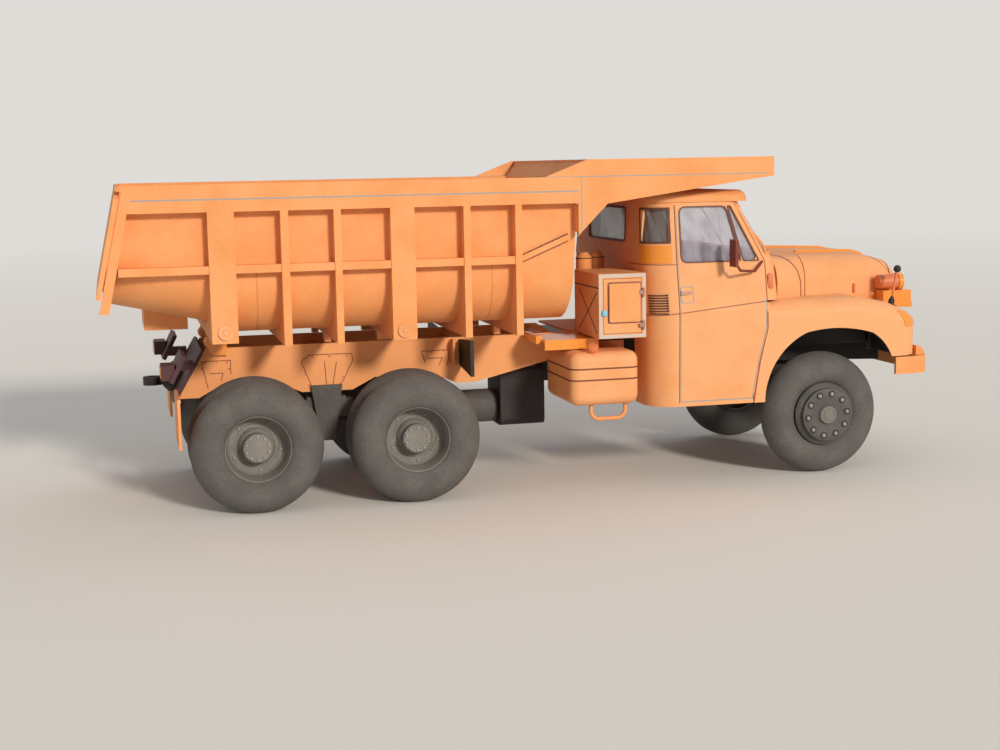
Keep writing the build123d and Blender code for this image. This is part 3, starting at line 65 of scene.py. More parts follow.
def add_node(tree, kind, links=(), **settings):
    """Add a node, set its properties or sockets by name, and link (from, socket, to socket) into it."""
    node = tree.nodes.new(kind)
    for name, value in settings.items():
        if hasattr(node, name):
            setattr(node, name, value)
        else:
            node.inputs[name.replace("_", " ")].default_value = value
    for source, output, target in links:
        tree.links.new(source.outputs[output], node.inputs[target])
    return node


# Camera, where the photographer stood, with its turns in radians
CAMERA_PLACE = at(-33.77, -420.33, 87.56)
CAMERA_YAW = 0.2475
CAMERA_PITCH = -0.1372
CAMERA_ROLL = -0.0182
CAMERA_LENS = 55.06
CAMERA_CLIP = 0.01


def add_camera():
    level_share = cos(CAMERA_PITCH)
    ahead = Vector((sin(CAMERA_YAW) * level_share, cos(CAMERA_YAW) * level_share, sin(CAMERA_PITCH)))
    level = Vector((cos(CAMERA_YAW), -sin(CAMERA_YAW), 0.0))
    upward = level.cross(ahead)
    right = level * cos(CAMERA_ROLL) + upward * sin(CAMERA_ROLL)
    top = upward * cos(CAMERA_ROLL) - level * sin(CAMERA_ROLL)
    data = bpy.data.cameras.new("camera")
    data.lens = CAMERA_LENS
    data.clip_start = CAMERA_CLIP
    camera = bpy.data.objects.new("camera", data)
    bpy.context.scene.collection.objects.link(camera)
    turn = Matrix((right, top, -ahead)).transposed().to_4x4()
    camera.matrix_world = Matrix.Translation(CAMERA_PLACE) @ turn
    bpy.context.scene.camera = camera


add_camera()

# Light: a soft lamp from the right front, a weak wide one from the left front, and an even pale room.
# Each lamp is the way that its light goes, its strength, its softness in degrees and its colour.
LAMPS = {
    "key_lamp": ((-0.3, 1.0, -0.42), 2.45, 9, "#FFF6EA"),
    "fill_lamp": ((-0.8, -0.7, -1.1), 0.25, 40, "#EAF1FF"),
}
ROOM = "#F1EEE9"
ROOM_LIGHT = "#FFFFFF"
ROOM_STRENGTH = 0.38       # light that the room throws on the model
ROOM_SHOWN = 0.84          # brightness of the background where it is seen


def add_lamp(name, toward, strength, angle, colour):
    """A lamp far away, so that floor and model are lit evenly."""
    data = bpy.data.lights.new(name, "SUN")
    data.energy = strength
    data.angle = radians(angle)
    data.color = linear(colour)[:3]
    light = bpy.data.objects.new(name, data)
    bpy.context.scene.collection.objects.link(light)
    light.matrix_world = Vector(toward).to_track_quat("-Z", "Y").to_matrix().to_4x4()


def seen_itself(tree):
    """1 where the background itself is seen: by the camera, in a reflection or through clear film."""
    rays = add_node(tree, "ShaderNodeLightPath")
    seen = add_node(tree, "ShaderNodeMath", [(rays, "Is Camera Ray", 0), (rays, "Is Glossy Ray", 1)],
                    operation="MAXIMUM")
    return add_node(tree, "ShaderNodeMath", [(seen, 0, 0), (rays, "Is Transmission Ray", 1)],
                    operation="MAXIMUM")


def add_room():
    world = bpy.data.worlds.new("pale room")
    bpy.context.scene.world = world
    world.use_nodes = True
    tree = world.node_tree
    tree.nodes.clear()
    light = add_node(tree, "ShaderNodeBackground", Color=linear(ROOM_LIGHT), Strength=ROOM_STRENGTH)
    shown = add_node(tree, "ShaderNodeBackground", Color=linear(ROOM), Strength=ROOM_SHOWN)
    both = add_node(tree, "ShaderNodeMixShader", [(seen_itself(tree), 0, 0), (light, 0, 1), (shown, 0, 2)])
    add_node(tree, "ShaderNodeOutputWorld", [(both, 0, 0)])


for lamp_name, lamp in LAMPS.items():
    add_lamp(lamp_name, *lamp)
add_room()
bpy.context.scene.view_settings.view_transform = "Standard"

# Modelling helpers. Thicknesses, widths and radii are in mm.
WELD = 0.004               # points closer than this are one
SMOOTH = 32                # edges flatter than this many degrees are shaded smooth


def only(piece):
    """Select one object alone and make it active."""
    bpy.ops.object.select_all(action="DESELECT")
    piece.select_set(True)
    bpy.context.view_layer.objects.active = piece


def start(primitive, **settings):
    """Start a piece from a primitive, with nothing else selected."""
    bpy.ops.object.select_all(action="DESELECT")
    primitive(**settings)
    return bpy.context.object


def settle(piece):
    """Put a piece's place into its mesh, so that its origin is the model's."""
    only(piece)
    bpy.ops.object.transform_apply(location=True, rotation=True, scale=True)
    return piece


def apply(piece, kind, **settings):
    """Add a modifier with its settings and apply it."""
    only(piece)
    modifier = piece.modifiers.new(kind.lower(), kind)
    for name, value in settings.items():
        setattr(modifier, name, value)
    bpy.ops.object.modifier_apply(modifier=modifier.name)


def twin(piece, matrix):
    """A copy of a piece with its own mesh, moved or mirrored by a matrix."""
    copy = piece.copy()
    copy.data = piece.data.copy()
    copy.data.transform(matrix)
    if matrix.determinant() < 0:
        copy.data.flip_normals()
    bpy.context.scene.collection.objects.link(copy)
    return copy


def join(pieces):
    """Join pieces into the first one."""
    only(pieces[0])
    for piece in pieces:
        piece.select_set(True)
    bpy.ops.object.join()
    return pieces[0]


def around(piece, centre, count, first=0.0):
    """Copies of a piece in a ring about an axle through centre, joined to one."""
    ring = []
    for index in range(count):
        angle = first + 2 * pi * index / count
        spin = Matrix.Translation(centre) @ Matrix.Rotation(angle, 4, "Y") @ Matrix.Translation(-centre)
        ring.append(twin(piece, spin))
    bpy.data.objects.remove(piece)
    return join(ring)


def draw(points):
    """Draw a line from point to point by extruding one vertex. All of it stays selected, in edit mode."""
    piece = start(bpy.ops.mesh.primitive_plane_add, size=MM, location=points[0])
    bpy.ops.object.mode_set(mode="EDIT")
    bpy.ops.mesh.select_all(action="SELECT")
    bpy.ops.mesh.merge(type="CENTER")
    for before, after in zip(points, points[1:]):
        bpy.ops.mesh.extrude_region_move(TRANSFORM_OT_translate={"value": after - before})
    bpy.ops.mesh.select_all(action="SELECT")
    return piece


def turned(profile, centre, axis, steps=40):
    """Turn a profile of (radius, distance along the axis) about an axis through centre."""
    axis = Vector(axis).normalized()
    side = axis.orthogonal().normalized()
    piece = draw([centre + axis * (along * MM) + side * (radius * MM) for radius, along in profile])
    bpy.ops.mesh.spin(steps=steps, angle=2 * pi, center=centre, axis=axis)
    bpy.ops.mesh.select_all(action="SELECT")
    bpy.ops.mesh.remove_doubles(threshold=WELD * MM)
    bpy.ops.mesh.normals_make_consistent(inside=False)
    bpy.ops.object.mode_set(mode="OBJECT")
    return settle(piece)


def outlined(points, corner=0.0):
    """Fill an outline with one face, its corners rounded to a radius. It stays selected, in edit mode."""
    piece = draw([*points, points[0]])
    bpy.ops.mesh.remove_doubles(threshold=WELD * MM)
    bpy.ops.mesh.edge_face_add()
    if corner:
        bpy.ops.mesh.bevel(affect="VERTICES", offset=corner * MM, offset_type="OFFSET", segments=4)
        bpy.ops.mesh.select_all(action="SELECT")
    return piece


def thicken(piece, way):
    """Give the selected faces a thickness along a vector, and leave edit mode."""
    bpy.ops.mesh.extrude_region_move(TRANSFORM_OT_translate={"value": Vector(way) * MM})
    bpy.ops.mesh.select_all(action="SELECT")
    bpy.ops.mesh.normals_make_consistent(inside=False)
    bpy.ops.object.mode_set(mode="OBJECT")
    return settle(piece)


def plate(points, way, corner=0.0):
    """A flat piece with an outline, made thick along a vector."""
    return thicken(outlined(points, corner), way)


def frame_plate(points, width, way, corner=0.0):
    """A flat frame that runs inside an outline."""
    piece = outlined(points, corner)
    bpy.ops.mesh.inset(thickness=width * MM)
    bpy.ops.mesh.delete(type="FACE")
    bpy.ops.mesh.select_all(action="SELECT")
    return thicken(piece, way)


def block(low, high, bevel):
    """A block between two corners, with eased edges."""
    low, high = at(*low), at(*high)
    piece = start(bpy.ops.mesh.primitive_cube_add, size=1, location=(low + high) / 2, scale=high - low)
    settle(piece)
    apply(piece, "BEVEL", width=bevel * MM, segments=2)
    return piece


def skin(low_path, high_path, cuts=1):
    """A curved sheet between a lower and an upper path. It stays selected, in edit mode."""
    lower = draw(low_path)
    bpy.ops.object.mode_set(mode="OBJECT")
    upper = draw(high_path)
    bpy.ops.object.mode_set(mode="OBJECT")
    piece = join([lower, upper])
    bpy.ops.object.mode_set(mode="EDIT")
    bpy.ops.mesh.select_all(action="SELECT")
    bpy.ops.mesh.bridge_edge_loops(number_cuts=cuts)
    bpy.ops.mesh.select_all(action="SELECT")
    bpy.ops.mesh.normals_make_consistent(inside=False)
    return piece


def wall(piece, thickness):
    """Leave edit mode and give a sheet its thickness, half of it to each side."""
    bpy.ops.object.mode_set(mode="OBJECT")
    settle(piece)
    apply(piece, "SOLIDIFY", thickness=thickness * MM, offset=0.0)
    return piece


def border(piece, width, thickness):
    """Keep only a border of the sheet that is being edited, and give it its thickness."""
    bpy.ops.mesh.select_all(action="SELECT")
    bpy.ops.mesh.inset(thickness=width * MM, use_boundary=True)
    bpy.ops.mesh.delete(type="FACE")
    return wall(piece, thickness)


def keep(piece, name, body, material, smooth=SMOOTH):
    """Finish a piece: its place in its mesh, one material, and the body that it rides on."""
    settle(piece)
    piece.name = name
    piece.data.name = name
    piece.data.materials.clear()
    piece.data.materials.append(material)
    bpy.ops.object.shade_smooth_by_angle(angle=radians(smooth))
    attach(piece, body)
    return piece


def keep_pair(piece, name, material, body="chassis"):
    """Keep a piece of the right side and its mirror image as one piece."""
    return keep(join([piece, twin(piece, MIRROR)]), name, body, material)


# Materials. Each one reads Object coordinates, so that its pattern has one size on the whole model.
CARD_IOR = 1.45
CARD_CLOUDS = 9.0          # mm: the size of the blotches in the print
CARD_SPECKLE = 0.45        # mm: card fibre, drawn coarser than it is so that it shows
CARD_RELIEF = 0.02         # mm: how far the fibres stand out
VARNISH_ROUGHNESS = 0.25
LAYER_GRAIN = 0.5          # mm: sanding marks, drawn coarser than they are so that they show
LAYER_CLOUDS = 6.0         # mm: where dust has settled
LAYER_RELIEF = 0.03        # mm
LAYERS_TO_A_METRE = 1100   # the edges of the laminated sheets, across the wheel
LAYER_WAVES = 40           # how many times to a metre they waver
FILM_CREASES = (260, 90, 70)       # creases to a metre, long ones down the film
FILM_LEAN = 24             # degrees
FILM_RELIEF = 0.4          # mm
INWARD = 2.0               # mm: a face that looks in by more than this, times its distance out, is black
DOWNWARD = -0.25           # a face whose normal points further down than this is black


def new_material(name):
    """A material with a surface, its output and a place to read patterns from."""
    material = bpy.data.materials.new(name)
    material.use_nodes = True
    tree = material.node_tree
    tree.nodes.clear()
    surface = add_node(tree, "ShaderNodeBsdfPrincipled")
    add_node(tree, "ShaderNodeOutputMaterial", [(surface, "BSDF", "Surface")])
    place = add_node(tree, "ShaderNodeTexCoord")
    return material, tree, surface, place


def printed_lines(tree, place, width, least_y, points):
    """1 on a line of the side view, from point (x, z) to point, as far out as least_y or further."""
    side = add_node(tree, "ShaderNodeVectorMath", [(place, "Object", 0)], operation="MULTIPLY")
    side.inputs[1].default_value = (1, 0, 1)
    lines = None
    for (x0, z0), (x1, z1) in zip(points, points[1:]):
        foot, run = at(x0, 0, z0), at(x1, 0, z1) - at(x0, 0, z0)
        from_foot = add_node(tree, "ShaderNodeVectorMath", [(side, 0, 0)], operation="SUBTRACT")
        from_foot.inputs[1].default_value = foot
        along = add_node(tree, "ShaderNodeVectorMath", [(from_foot, 0, 0)], operation="DOT_PRODUCT")
        along.inputs[1].default_value = run / run.length_squared
        held = add_node(tree, "ShaderNodeMath", [(along, "Value", 0)], operation="MULTIPLY", use_clamp=True)
        held.inputs[1].default_value = 1.0
        nearest = add_node(tree, "ShaderNodeVectorMath", [(held, 0, "Scale")], operation="SCALE")
        nearest.inputs[0].default_value = run
        apart = add_node(tree, "ShaderNodeVectorMath", [(from_foot, 0, 0), (nearest, 0, 1)],
                         operation="DISTANCE")
        near = add_node(tree, "ShaderNodeMath", [(apart, "Value", 0)], operation="LESS_THAN")
        near.inputs[1].default_value = width * MM / 2
        if lines:
            near = add_node(tree, "ShaderNodeMath", [(lines, 0, 0), (near, 0, 1)], operation="MAXIMUM")
        lines = near
    axes = add_node(tree, "ShaderNodeSeparateXYZ", [(place, "Object", 0)])
    across = add_node(tree, "ShaderNodeMath", [(axes, "Y", 0)], operation="ABSOLUTE")
    outside = add_node(tree, "ShaderNodeMath", [(across, 0, 0)], operation="GREATER_THAN")
    outside.inputs[1].default_value = least_y * MM
    return add_node(tree, "ShaderNodeMath", [(lines, 0, 0), (outside, 0, 1)], operation="MULTIPLY")


def ahead_of(tree, place, x):
    """1 ahead of an X in mm."""
    axes = add_node(tree, "ShaderNodeSeparateXYZ", [(place, "Object", 0)])
    mask = add_node(tree, "ShaderNodeMath", [(axes, "X", 0)], operation="GREATER_THAN")
    mask.inputs[1].default_value = at(x, 0, 0).x
    return mask


def inside_faces(tree, place):
    """1 on the faces that look inward or down."""
    axes = add_node(tree, "ShaderNodeSeparateXYZ", [(place, "Object", 0)])
    facing = add_node(tree, "ShaderNodeSeparateXYZ", [(place, "Normal", 0)])
    inward = add_node(tree, "ShaderNodeMath", [(axes, "Y", 0), (facing, "Y", 1)], operation="MULTIPLY")
    inward = add_node(tree, "ShaderNodeMath", [(inward, 0, 0)], operation="LESS_THAN")
    inward.inputs[1].default_value = -INWARD * MM
    down = add_node(tree, "ShaderNodeMath", [(facing, "Z", 0)], operation="LESS_THAN")
    down.inputs[1].default_value = DOWNWARD
    return add_node(tree, "ShaderNodeMath", [(inward, 0, 0), (down, 0, 1)], operation="MAXIMUM")


def card(name, colour, blotch, roughness=0.62, coat=0.0, drawn=(), black_ahead_of=None, black_inside=False):
    """Printed card: ink that lies a little unevenly over a fibrous sheet, under a thin satin varnish.

    drawn holds printed lines as (ink, width in mm, least |y| in mm, points (x, z) of the side view).
    """
    material, tree, surface, place = new_material(name)
    clouds = add_node(tree, "ShaderNodeTexNoise", [(place, "Object", "Vector")],
                      Scale=1 / (CARD_CLOUDS * MM), Detail=3.0)
    speckle = add_node(tree, "ShaderNodeTexNoise", [(place, "Object", "Vector")],
                       Scale=1 / (CARD_SPECKLE * MM), Detail=2.0)
    amount = add_node(tree, "ShaderNodeMapRange", [(clouds, "Fac", "Value")], From_Min=0.38, From_Max=0.72)
    ink = add_node(tree, "ShaderNodeMix", [(amount, "Result", 0)], data_type="RGBA")
    ink.inputs[6].default_value = linear(colour)
    ink.inputs[7].default_value = linear(blotch)
    fine = add_node(tree, "ShaderNodeMapRange", [(speckle, "Fac", "Value")], From_Min=0.3, From_Max=0.7,
                    To_Min=0.95, To_Max=1.04)
    shaded = add_node(tree, "ShaderNodeVectorMath", [(ink, 2, 0), (fine, "Result", "Scale")],
                      operation="SCALE")
    printed = shaded.outputs[0]
    masks = [(line_ink, printed_lines(tree, place, width, least_y, points))
             for line_ink, width, least_y, points in drawn]
    if black_ahead_of is not None:
        masks.append((BLACK_INK, ahead_of(tree, place, black_ahead_of)))
    if black_inside:
        masks.append((BLACK_INK, inside_faces(tree, place)))
    for over_ink, mask in masks:
        over = add_node(tree, "ShaderNodeMix", [(mask, 0, 0)], data_type="RGBA")
        tree.links.new(printed, over.inputs[6])
        over.inputs[7].default_value = linear(over_ink)
        printed = over.outputs[2]
    tree.links.new(printed, surface.inputs["Base Color"])
    fibre = add_node(tree, "ShaderNodeBump", [(speckle, "Fac", "Height")], Strength=0.35,
                     Distance=CARD_RELIEF * MM)
    tree.links.new(fibre.outputs[0], surface.inputs["Normal"])
    surface.inputs["Roughness"].default_value = roughness
    surface.inputs["IOR"].default_value = CARD_IOR
    surface.inputs["Coat Weight"].default_value = coat
    surface.inputs["Coat Roughness"].default_value = VARNISH_ROUGHNESS
    return material


def sanded_card(name, colour, dust, roughness=0.85):
    """Laminated card, sanded round and painted: faint rings of its layers, and dust in the grain."""
    material, tree, surface, place = new_material(name)
    grain = add_node(tree, "ShaderNodeTexNoise", [(place, "Object", "Vector")],
                     Scale=1 / (LAYER_GRAIN * MM), Detail=4.0)
    clouds = add_node(tree, "ShaderNodeTexNoise", [(place, "Object", "Vector")],
                      Scale=1 / (LAYER_CLOUDS * MM), Detail=2.0)
    layers = add_node(tree, "ShaderNodeMapping", [(place, "Object", "Vector")],
                      Scale=(LAYER_WAVES, LAYERS_TO_A_METRE, LAYER_WAVES))
    rings = add_node(tree, "ShaderNodeTexNoise", [(layers, "Vector", "Vector")], Scale=1.0, Detail=1.0)
    worn = add_node(tree, "ShaderNodeMath", [(grain, "Fac", 0), (clouds, "Fac", 1)], operation="MULTIPLY")
    amount = add_node(tree, "ShaderNodeMapRange", [(worn, 0, "Value")], From_Min=0.15, From_Max=0.38)
    tint = add_node(tree, "ShaderNodeMix", [(amount, "Result", 0)], data_type="RGBA")
    tint.inputs[6].default_value = linear(colour)
    tint.inputs[7].default_value = linear(dust)
    tree.links.new(tint.outputs[2], surface.inputs["Base Color"])
    relief = add_node(tree, "ShaderNodeMath", [(grain, "Fac", 0), (rings, "Fac", 1)], operation="ADD")
    bump = add_node(tree, "ShaderNodeBump", [(relief, 0, "Height")], Strength=0.5,
                    Distance=LAYER_RELIEF * MM)
    tree.links.new(bump.outputs[0], surface.inputs["Normal"])
    surface.inputs["Roughness"].default_value = roughness
    return material


def window_film(name, colour, alpha):
    """Clear film, a little creased, so that it mirrors the room in streaks."""
    material, tree, surface, place = new_material(name)
    drawn_out = add_node(tree, "ShaderNodeMapping", [(place, "Object", "Vector")],
                         Scale=FILM_CREASES, Rotation=(0, radians(FILM_LEAN), 0))
    creases = add_node(tree, "ShaderNodeTexNoise", [(drawn_out, "Vector", "Vector")], Scale=1.0, Detail=3.0,
                       Distortion=0.6)
    veil = add_node(tree, "ShaderNodeMapRange", [(creases, "Fac", "Value")], From_Min=0.35, From_Max=0.7,
                    To_Min=alpha - 0.12, To_Max=alpha + 0.2)
    tree.links.new(veil.outputs[0], surface.inputs["Alpha"])
    bump = add_node(tree, "ShaderNodeBump", [(creases, "Fac", "Height")], Strength=0.25,
                    Distance=FILM_RELIEF * MM)
    tree.links.new(bump.outputs[0], surface.inputs["Normal"])
    surface.inputs["Base Color"].default_value = linear(colour)
    surface.inputs["Roughness"].default_value = 0.14
    return material


# Floor: matt paper, which fades into the room far from the model so that no edge shows
FLOOR_PAPER = "#EFECE6"
FLOOR_RADIUS = 9.0
PAPER_TOOTH = 900.0        # grains to a metre
PAPER_RELIEF = 0.05        # mm
FADE_NEAR = 0.35           # metres from the model where the fading starts
FADE_FAR = 1.5


def add_floor():
    floor = start(bpy.ops.mesh.primitive_circle_add, vertices=64, radius=FLOOR_RADIUS, fill_type="NGON",
                  location=(0, 0, 0))
    floor.name = "paper_floor"
    material, tree, surface, place = new_material("matt background paper")
    tooth = add_node(tree, "ShaderNodeTexNoise", [(place, "Object", "Vector")], Scale=PAPER_TOOTH, Detail=2.0)
    bump = add_node(tree, "ShaderNodeBump", [(tooth, "Fac", "Height")], Strength=0.15,
                    Distance=PAPER_RELIEF * MM)
    tree.links.new(bump.outputs[0], surface.inputs["Normal"])
    surface.inputs["Base Color"].default_value = linear(FLOOR_PAPER)
    surface.inputs["Roughness"].default_value = 0.95
    away = add_node(tree, "ShaderNodeVectorMath", [(place, "Object", 0)], operation="LENGTH")
    fade = add_node(tree, "ShaderNodeMapRange", [(away, "Value", "Value")],
                    From_Min=FADE_NEAR, From_Max=FADE_FAR)
    amount = add_node(tree, "ShaderNodeMath", [(fade, "Result", 0), (seen_itself(tree), 0, 1)],
                      operation="MULTIPLY")
    glow = add_node(tree, "ShaderNodeEmission", Color=linear(ROOM), Strength=ROOM_SHOWN)
    faded = add_node(tree, "ShaderNodeMixShader", [(amount, 0, 0), (surface, 0, 1), (glow, 0, 2)])
    output = next(node for node in tree.nodes if node.bl_idname == "ShaderNodeOutputMaterial")
    tree.links.new(faded.outputs[0], output.inputs["Surface"])
    floor.data.materials.append(material)


add_floor()

INK = "#7A4128"
INK_SOFT = "#9A6248"
INK_GREY = "#A39C96"
INK_PALE = "#C9BDB4"
INK_TAN = "#D98A45"
BLACK_INK = "#1B1716"
BODY_PRINT = ("#EDA265", "#E89655")        # the tipping body's orange, and its blotches
CAB_PRINT = ("#EDA972", "#E99D62")         # the cab's, a little paler

# Lines that are printed on the card: seams, creases and mouldings of the side view
RAIL_LINE = [(-28.5, 80.2), (84.4, 80.2)]
TUB_SEAMS = ([(62.2, 47.0), (61.8, 61.9)], [(1.5, 47.0), (1.2, 61.9)])
FRONT_MOULDINGS = ([(69.2, 61.9), (82.4, 67.35)], [(69.2, 63.7), (82.4, 69.1)])
CANOPY_SEAM = [(85.3, 69.5), (85.3, 83.9)]
CANOPY_LINE = [(75.4, 83.9), (137.0, 83.9)]
CREASE = [(104.0, 46.5), (107.8, 46.6), (136.5, 49.3), (138.0, 49.4)]
BELT = [(104.0, 60.0), (112.5, 60.0)]
DOOR_EDGE = [(113.05, 75.4), (113.05, 23.1), (133.75, 23.1), (135.5, 33.0), (137.7, 42.0), (137.7, 50.0)]
COWL_SEAM = [(145.6, 61.4), (149.2, 59.4), (151.0, 57.2), (152.3, 53.5), (152.6, 48.0)]
BONNET_SEAM = [(174.6, 61.0), (178.4, 59.7), (181.8, 57.4), (184.2, 54.4)]
TANK_STRAPS = ([(81.0, 33.2), (103.0, 33.2)], [(81.0, 30.2), (103.0, 30.2)])
LOCKER_EDGE = [(91.1, 41.5), (103.3, 41.5), (103.3, 57.7), (91.1, 57.7), (91.1, 41.5)]
LOCKER_INNER = [(91.9, 42.3), (102.6, 42.3), (102.6, 56.9), (91.9, 56.9), (91.9, 42.3)]
LOCKER_DOOR = [(93.2, 45.2), (102.2, 45.2), (102.2, 55.8), (93.2, 55.8), (93.2, 45.2)]
FRAME_PLATES = (
    [(-12.1, 37.4), (-10.6, 30.2)],
    [(-12.1, 37.4), (-4.5, 37.4), (-4.5, 33.8)],
    [(-10.0, 34.1), (-6.6, 34.1), (-7.1, 32.1)],
    [(17.3, 28.0), (14.1, 36.1), (16.3, 37.8), (27.8, 37.7), (28.0, 35.8), (25.5, 30.8), (22.9, 28.0)],
    [(20.4, 35.8), (20.8, 28.1)],
    [(23.6, 35.6), (22.2, 28.0)],
    [(47.8, 34.4), (46.9, 37.3), (54.7, 37.5), (54.1, 33.1)],
    [(48.5, 35.3), (52.7, 35.3), (51.7, 33.3)],
)
FRAME_BLACK_X = 105.0      # the frame is black ahead of this

# Card printed in the truck's orange: even and warm, with a dull sheen and the drawing's lines on it
ORANGE = card("printed card, orange", *BODY_PRINT)
RAIL_CARD = card("printed card, rail", *BODY_PRINT, drawn=[(INK_GREY, 0.4, 38.5, RAIL_LINE)])
TUB_CARD = card("printed card, tub", *BODY_PRINT, drawn=[(INK_TAN, 0.35, 20.0, seam) for seam in TUB_SEAMS])
STIFFENER_CARD = card("printed card, stiffener", *BODY_PRINT,
                      drawn=[(INK, 0.28, 34.0, moulding) for moulding in FRONT_MOULDINGS])
CANOPY_CARD = card("printed card, canopy", *BODY_PRINT,
                   drawn=[(INK_GREY, 0.35, 37.5, CANOPY_SEAM), (INK_GREY, 0.3, 37.5, CANOPY_LINE)])
CAB_CARD = card("printed card, cab", *CAB_PRINT,
                drawn=[(INK_SOFT, 0.3, 20.0, CREASE), (INK_SOFT, 0.3, 20.0, BELT)])
DOOR_CARD = card("printed card, door", *CAB_PRINT,
                 drawn=[(INK_SOFT, 0.3, 20.0, CREASE), (INK_GREY, 0.35, 20.0, DOOR_EDGE)])
COWL_CARD = card("printed card, cowl", *CAB_PRINT, drawn=[(INK, 0.4, 15.0, COWL_SEAM)])
BONNET_CARD = card("printed card, bonnet", *CAB_PRINT, drawn=[(INK_SOFT, 0.28, 10.0, BONNET_SEAM)])
TANK_CARD = card("printed card, tank", *CAB_PRINT, drawn=[(INK, 0.45, 0.0, strap) for strap in TANK_STRAPS])
LOCKER_CARD = card("printed card, locker", *CAB_PRINT,
                   drawn=[(INK_PALE, 0.8, 35.0, LOCKER_EDGE), (INK_SOFT, 0.2, 35.0, LOCKER_INNER),
                          (INK_SOFT, 0.4, 36.0, LOCKER_DOOR)])
FRAME_CARD = card("printed card, frame", BODY_PRINT[0], BODY_PRINT[0], black_ahead_of=FRAME_BLACK_X,
                  drawn=[(INK, 0.22, 13.5, line) for line in FRAME_PLATES])
WING_CARD = card("printed card, wing", CAB_PRINT[0], CAB_PRINT[0], black_inside=True)
# The same card under a thick varnish: deeper colour and a clear highlight
AMBER = card("glossy printed card, amber", "#EE962F", "#E88A24", roughness=0.35, coat=0.5)
WHITE = card("white card", "#EDE9E2", "#E2DDD5", roughness=0.4, coat=0.6)
BLUE = card("printed card, light blue", "#86CFE6", "#79C2DB", roughness=0.45)
# Card painted or printed in one dark colour: flat, and a little streaky
LAMP_CARD = card("printed card, lamp", "#DD7E4E", "#D27242", roughness=0.5)
DARK_RED = card("printed card, dark red", "#7E3222", "#70291B", roughness=0.5)
MAUVE_PALE = card("pale mauve card", "#B08877", "#A67D6C", roughness=0.5)
# Dark card whose mauve tint is a painted reflection of blue sky light and orange spill on a near-black plate.
SKY_TINTED_DARK_CARD = card("dark card, with a painted mauve reflection", "#4A2A2E", "#3A2124", roughness=0.6)
BLACK = card("black printed card", "#231E1D", "#2E2725", roughness=0.6)
# Cut edges, where the sheet shows through or was inked over
CAP_CARD = card("bare card rim", "#E8B084", "#DFA070", roughness=0.5)
INK_LINE = card("card edge, inked", "#6B4438", "#5E3A30", roughness=0.6)
PALE_LINE = card("card edge, bare", "#B9AFA9", "#AAA09A", roughness=0.7)
# Wheels of sanded layers: chalky grey that catches the light only at a low angle
TYRE = sanded_card("sanded grey card", "#565350", "#66625F")
DISC = sanded_card("sanded dark card", "#4C4A47", "#5B5855", roughness=0.7)
HUB = sanded_card("sanded light card", "#737069", "#85817A", roughness=0.7)
NUT = sanded_card("painted card dots", "#8E8A85", "#9F9B96", roughness=0.55)
# Windows: thin film, milky where it creases
FILM = window_film("clear film", "#C3C0CF", 0.3)
# Painted shade: clear film made a dark, half-opaque grey, standing in for the shade inside the cab behind the
# rear and corner windows.
FILM_WITH_PAINTED_SHADE = window_film("film darkened with painted shade", "#6E6B6C", 0.62)

# Which finish each CAD node takes, by the start of its name. The others are plain orange.
FINISHES = (
    (TYRE, ("tyre_", "tyres_")),
    (DISC, ("rim_front", "prop_shafts", "leaf_springs")),
    (HUB, ("rim_middle", "rim_rear")),
    (RAIL_CARD, ("body_rails",)),
    (TUB_CARD, ("tub",)),
    (STIFFENER_CARD, ("stiffeners",)),
    (CANOPY_CARD, ("canopy",)),
    (CAB_CARD, ("cab_shell",)),
    (DOOR_CARD, ("door_",)),
    (COWL_CARD, ("cowl",)),
    (BONNET_CARD, ("bonnet",)),
    (WING_CARD, ("wings",)),
    (TANK_CARD, ("fuel_tank",)),
    (LOCKER_CARD, ("locker",)),
    (FRAME_CARD, ("frame_rails", "cross_members")),
    (AMBER, ("step_plates", "lamp_beam", "hinge_brackets")),
    (DARK_RED, ("mirrors",)),
    (LAMP_CARD, ("front_lamps",)),
    (SKY_TINTED_DARK_CARD, ("tail_plate",)),
    (FILM, ("glass",)),
    (BLACK, ("rear_axles", "axle_front", "knuckle", "transfer_box", "engine", "seats", "tow_hitch",
             "outriggers", "dashboard", "battery_box")),
)
for node_name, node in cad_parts.items():
    finish = next((finish for finish, starts in FINISHES if node_name.startswith(starts)), ORANGE)
    node.data.materials.clear()
    node.data.materials.append(finish)

# Wheels. Profiles are (radius, distance along the axle): outward from the tyre's middle, or from a face.
OUTWARD = (0, -1, 0)       # on the right side
WHEEL_R = 17.03
FRONT_WHEEL_Y = 30.7
TWINS_Y = 27.7
TWIN_SHIFT = 5.15          # from the middle of the twins to each tyre's own middle
TYRE_HALF_PROFILE = (
    (8.2, 2.3), (8.35, 2.75), (8.75, 3.3), (9.35, 3.8), (10.1, 4.18), (11.1, 4.48), (12.2, 4.62),
    (13.2, 4.52), (14.1, 4.18), (14.9, 3.65), (15.6, 3.0), (16.2, 2.25), (16.65, 1.45), (16.92, 0.8),
    (17.03, 0.25), (16.86, 0.12))
TYRE_PROFILE = (*TYRE_HALF_PROFILE, *((radius, -out) for radius, out in reversed(TYRE_HALF_PROFILE)),
                TYRE_HALF_PROFILE[0])
TYRE_SMOOTH = 40
TYRE_STEPS = 96
RIM_STEPS = 72
DISC_SEAT = ((7.35, 5.1), (7.9, 4.75), (8.6, 4.35), (8.75, 4.1), (7.35, 4.1), (7.35, 5.1))
DISC_FACE = ((2.5, 6.0), (2.5, 6.12), (4.4, 6.14), (4.7, 6.3), (7.0, 6.3), (7.3, 6.12), (7.32, 5.6),
             (7.2, 5.2), (2.5, 5.2), (2.5, 6.0))
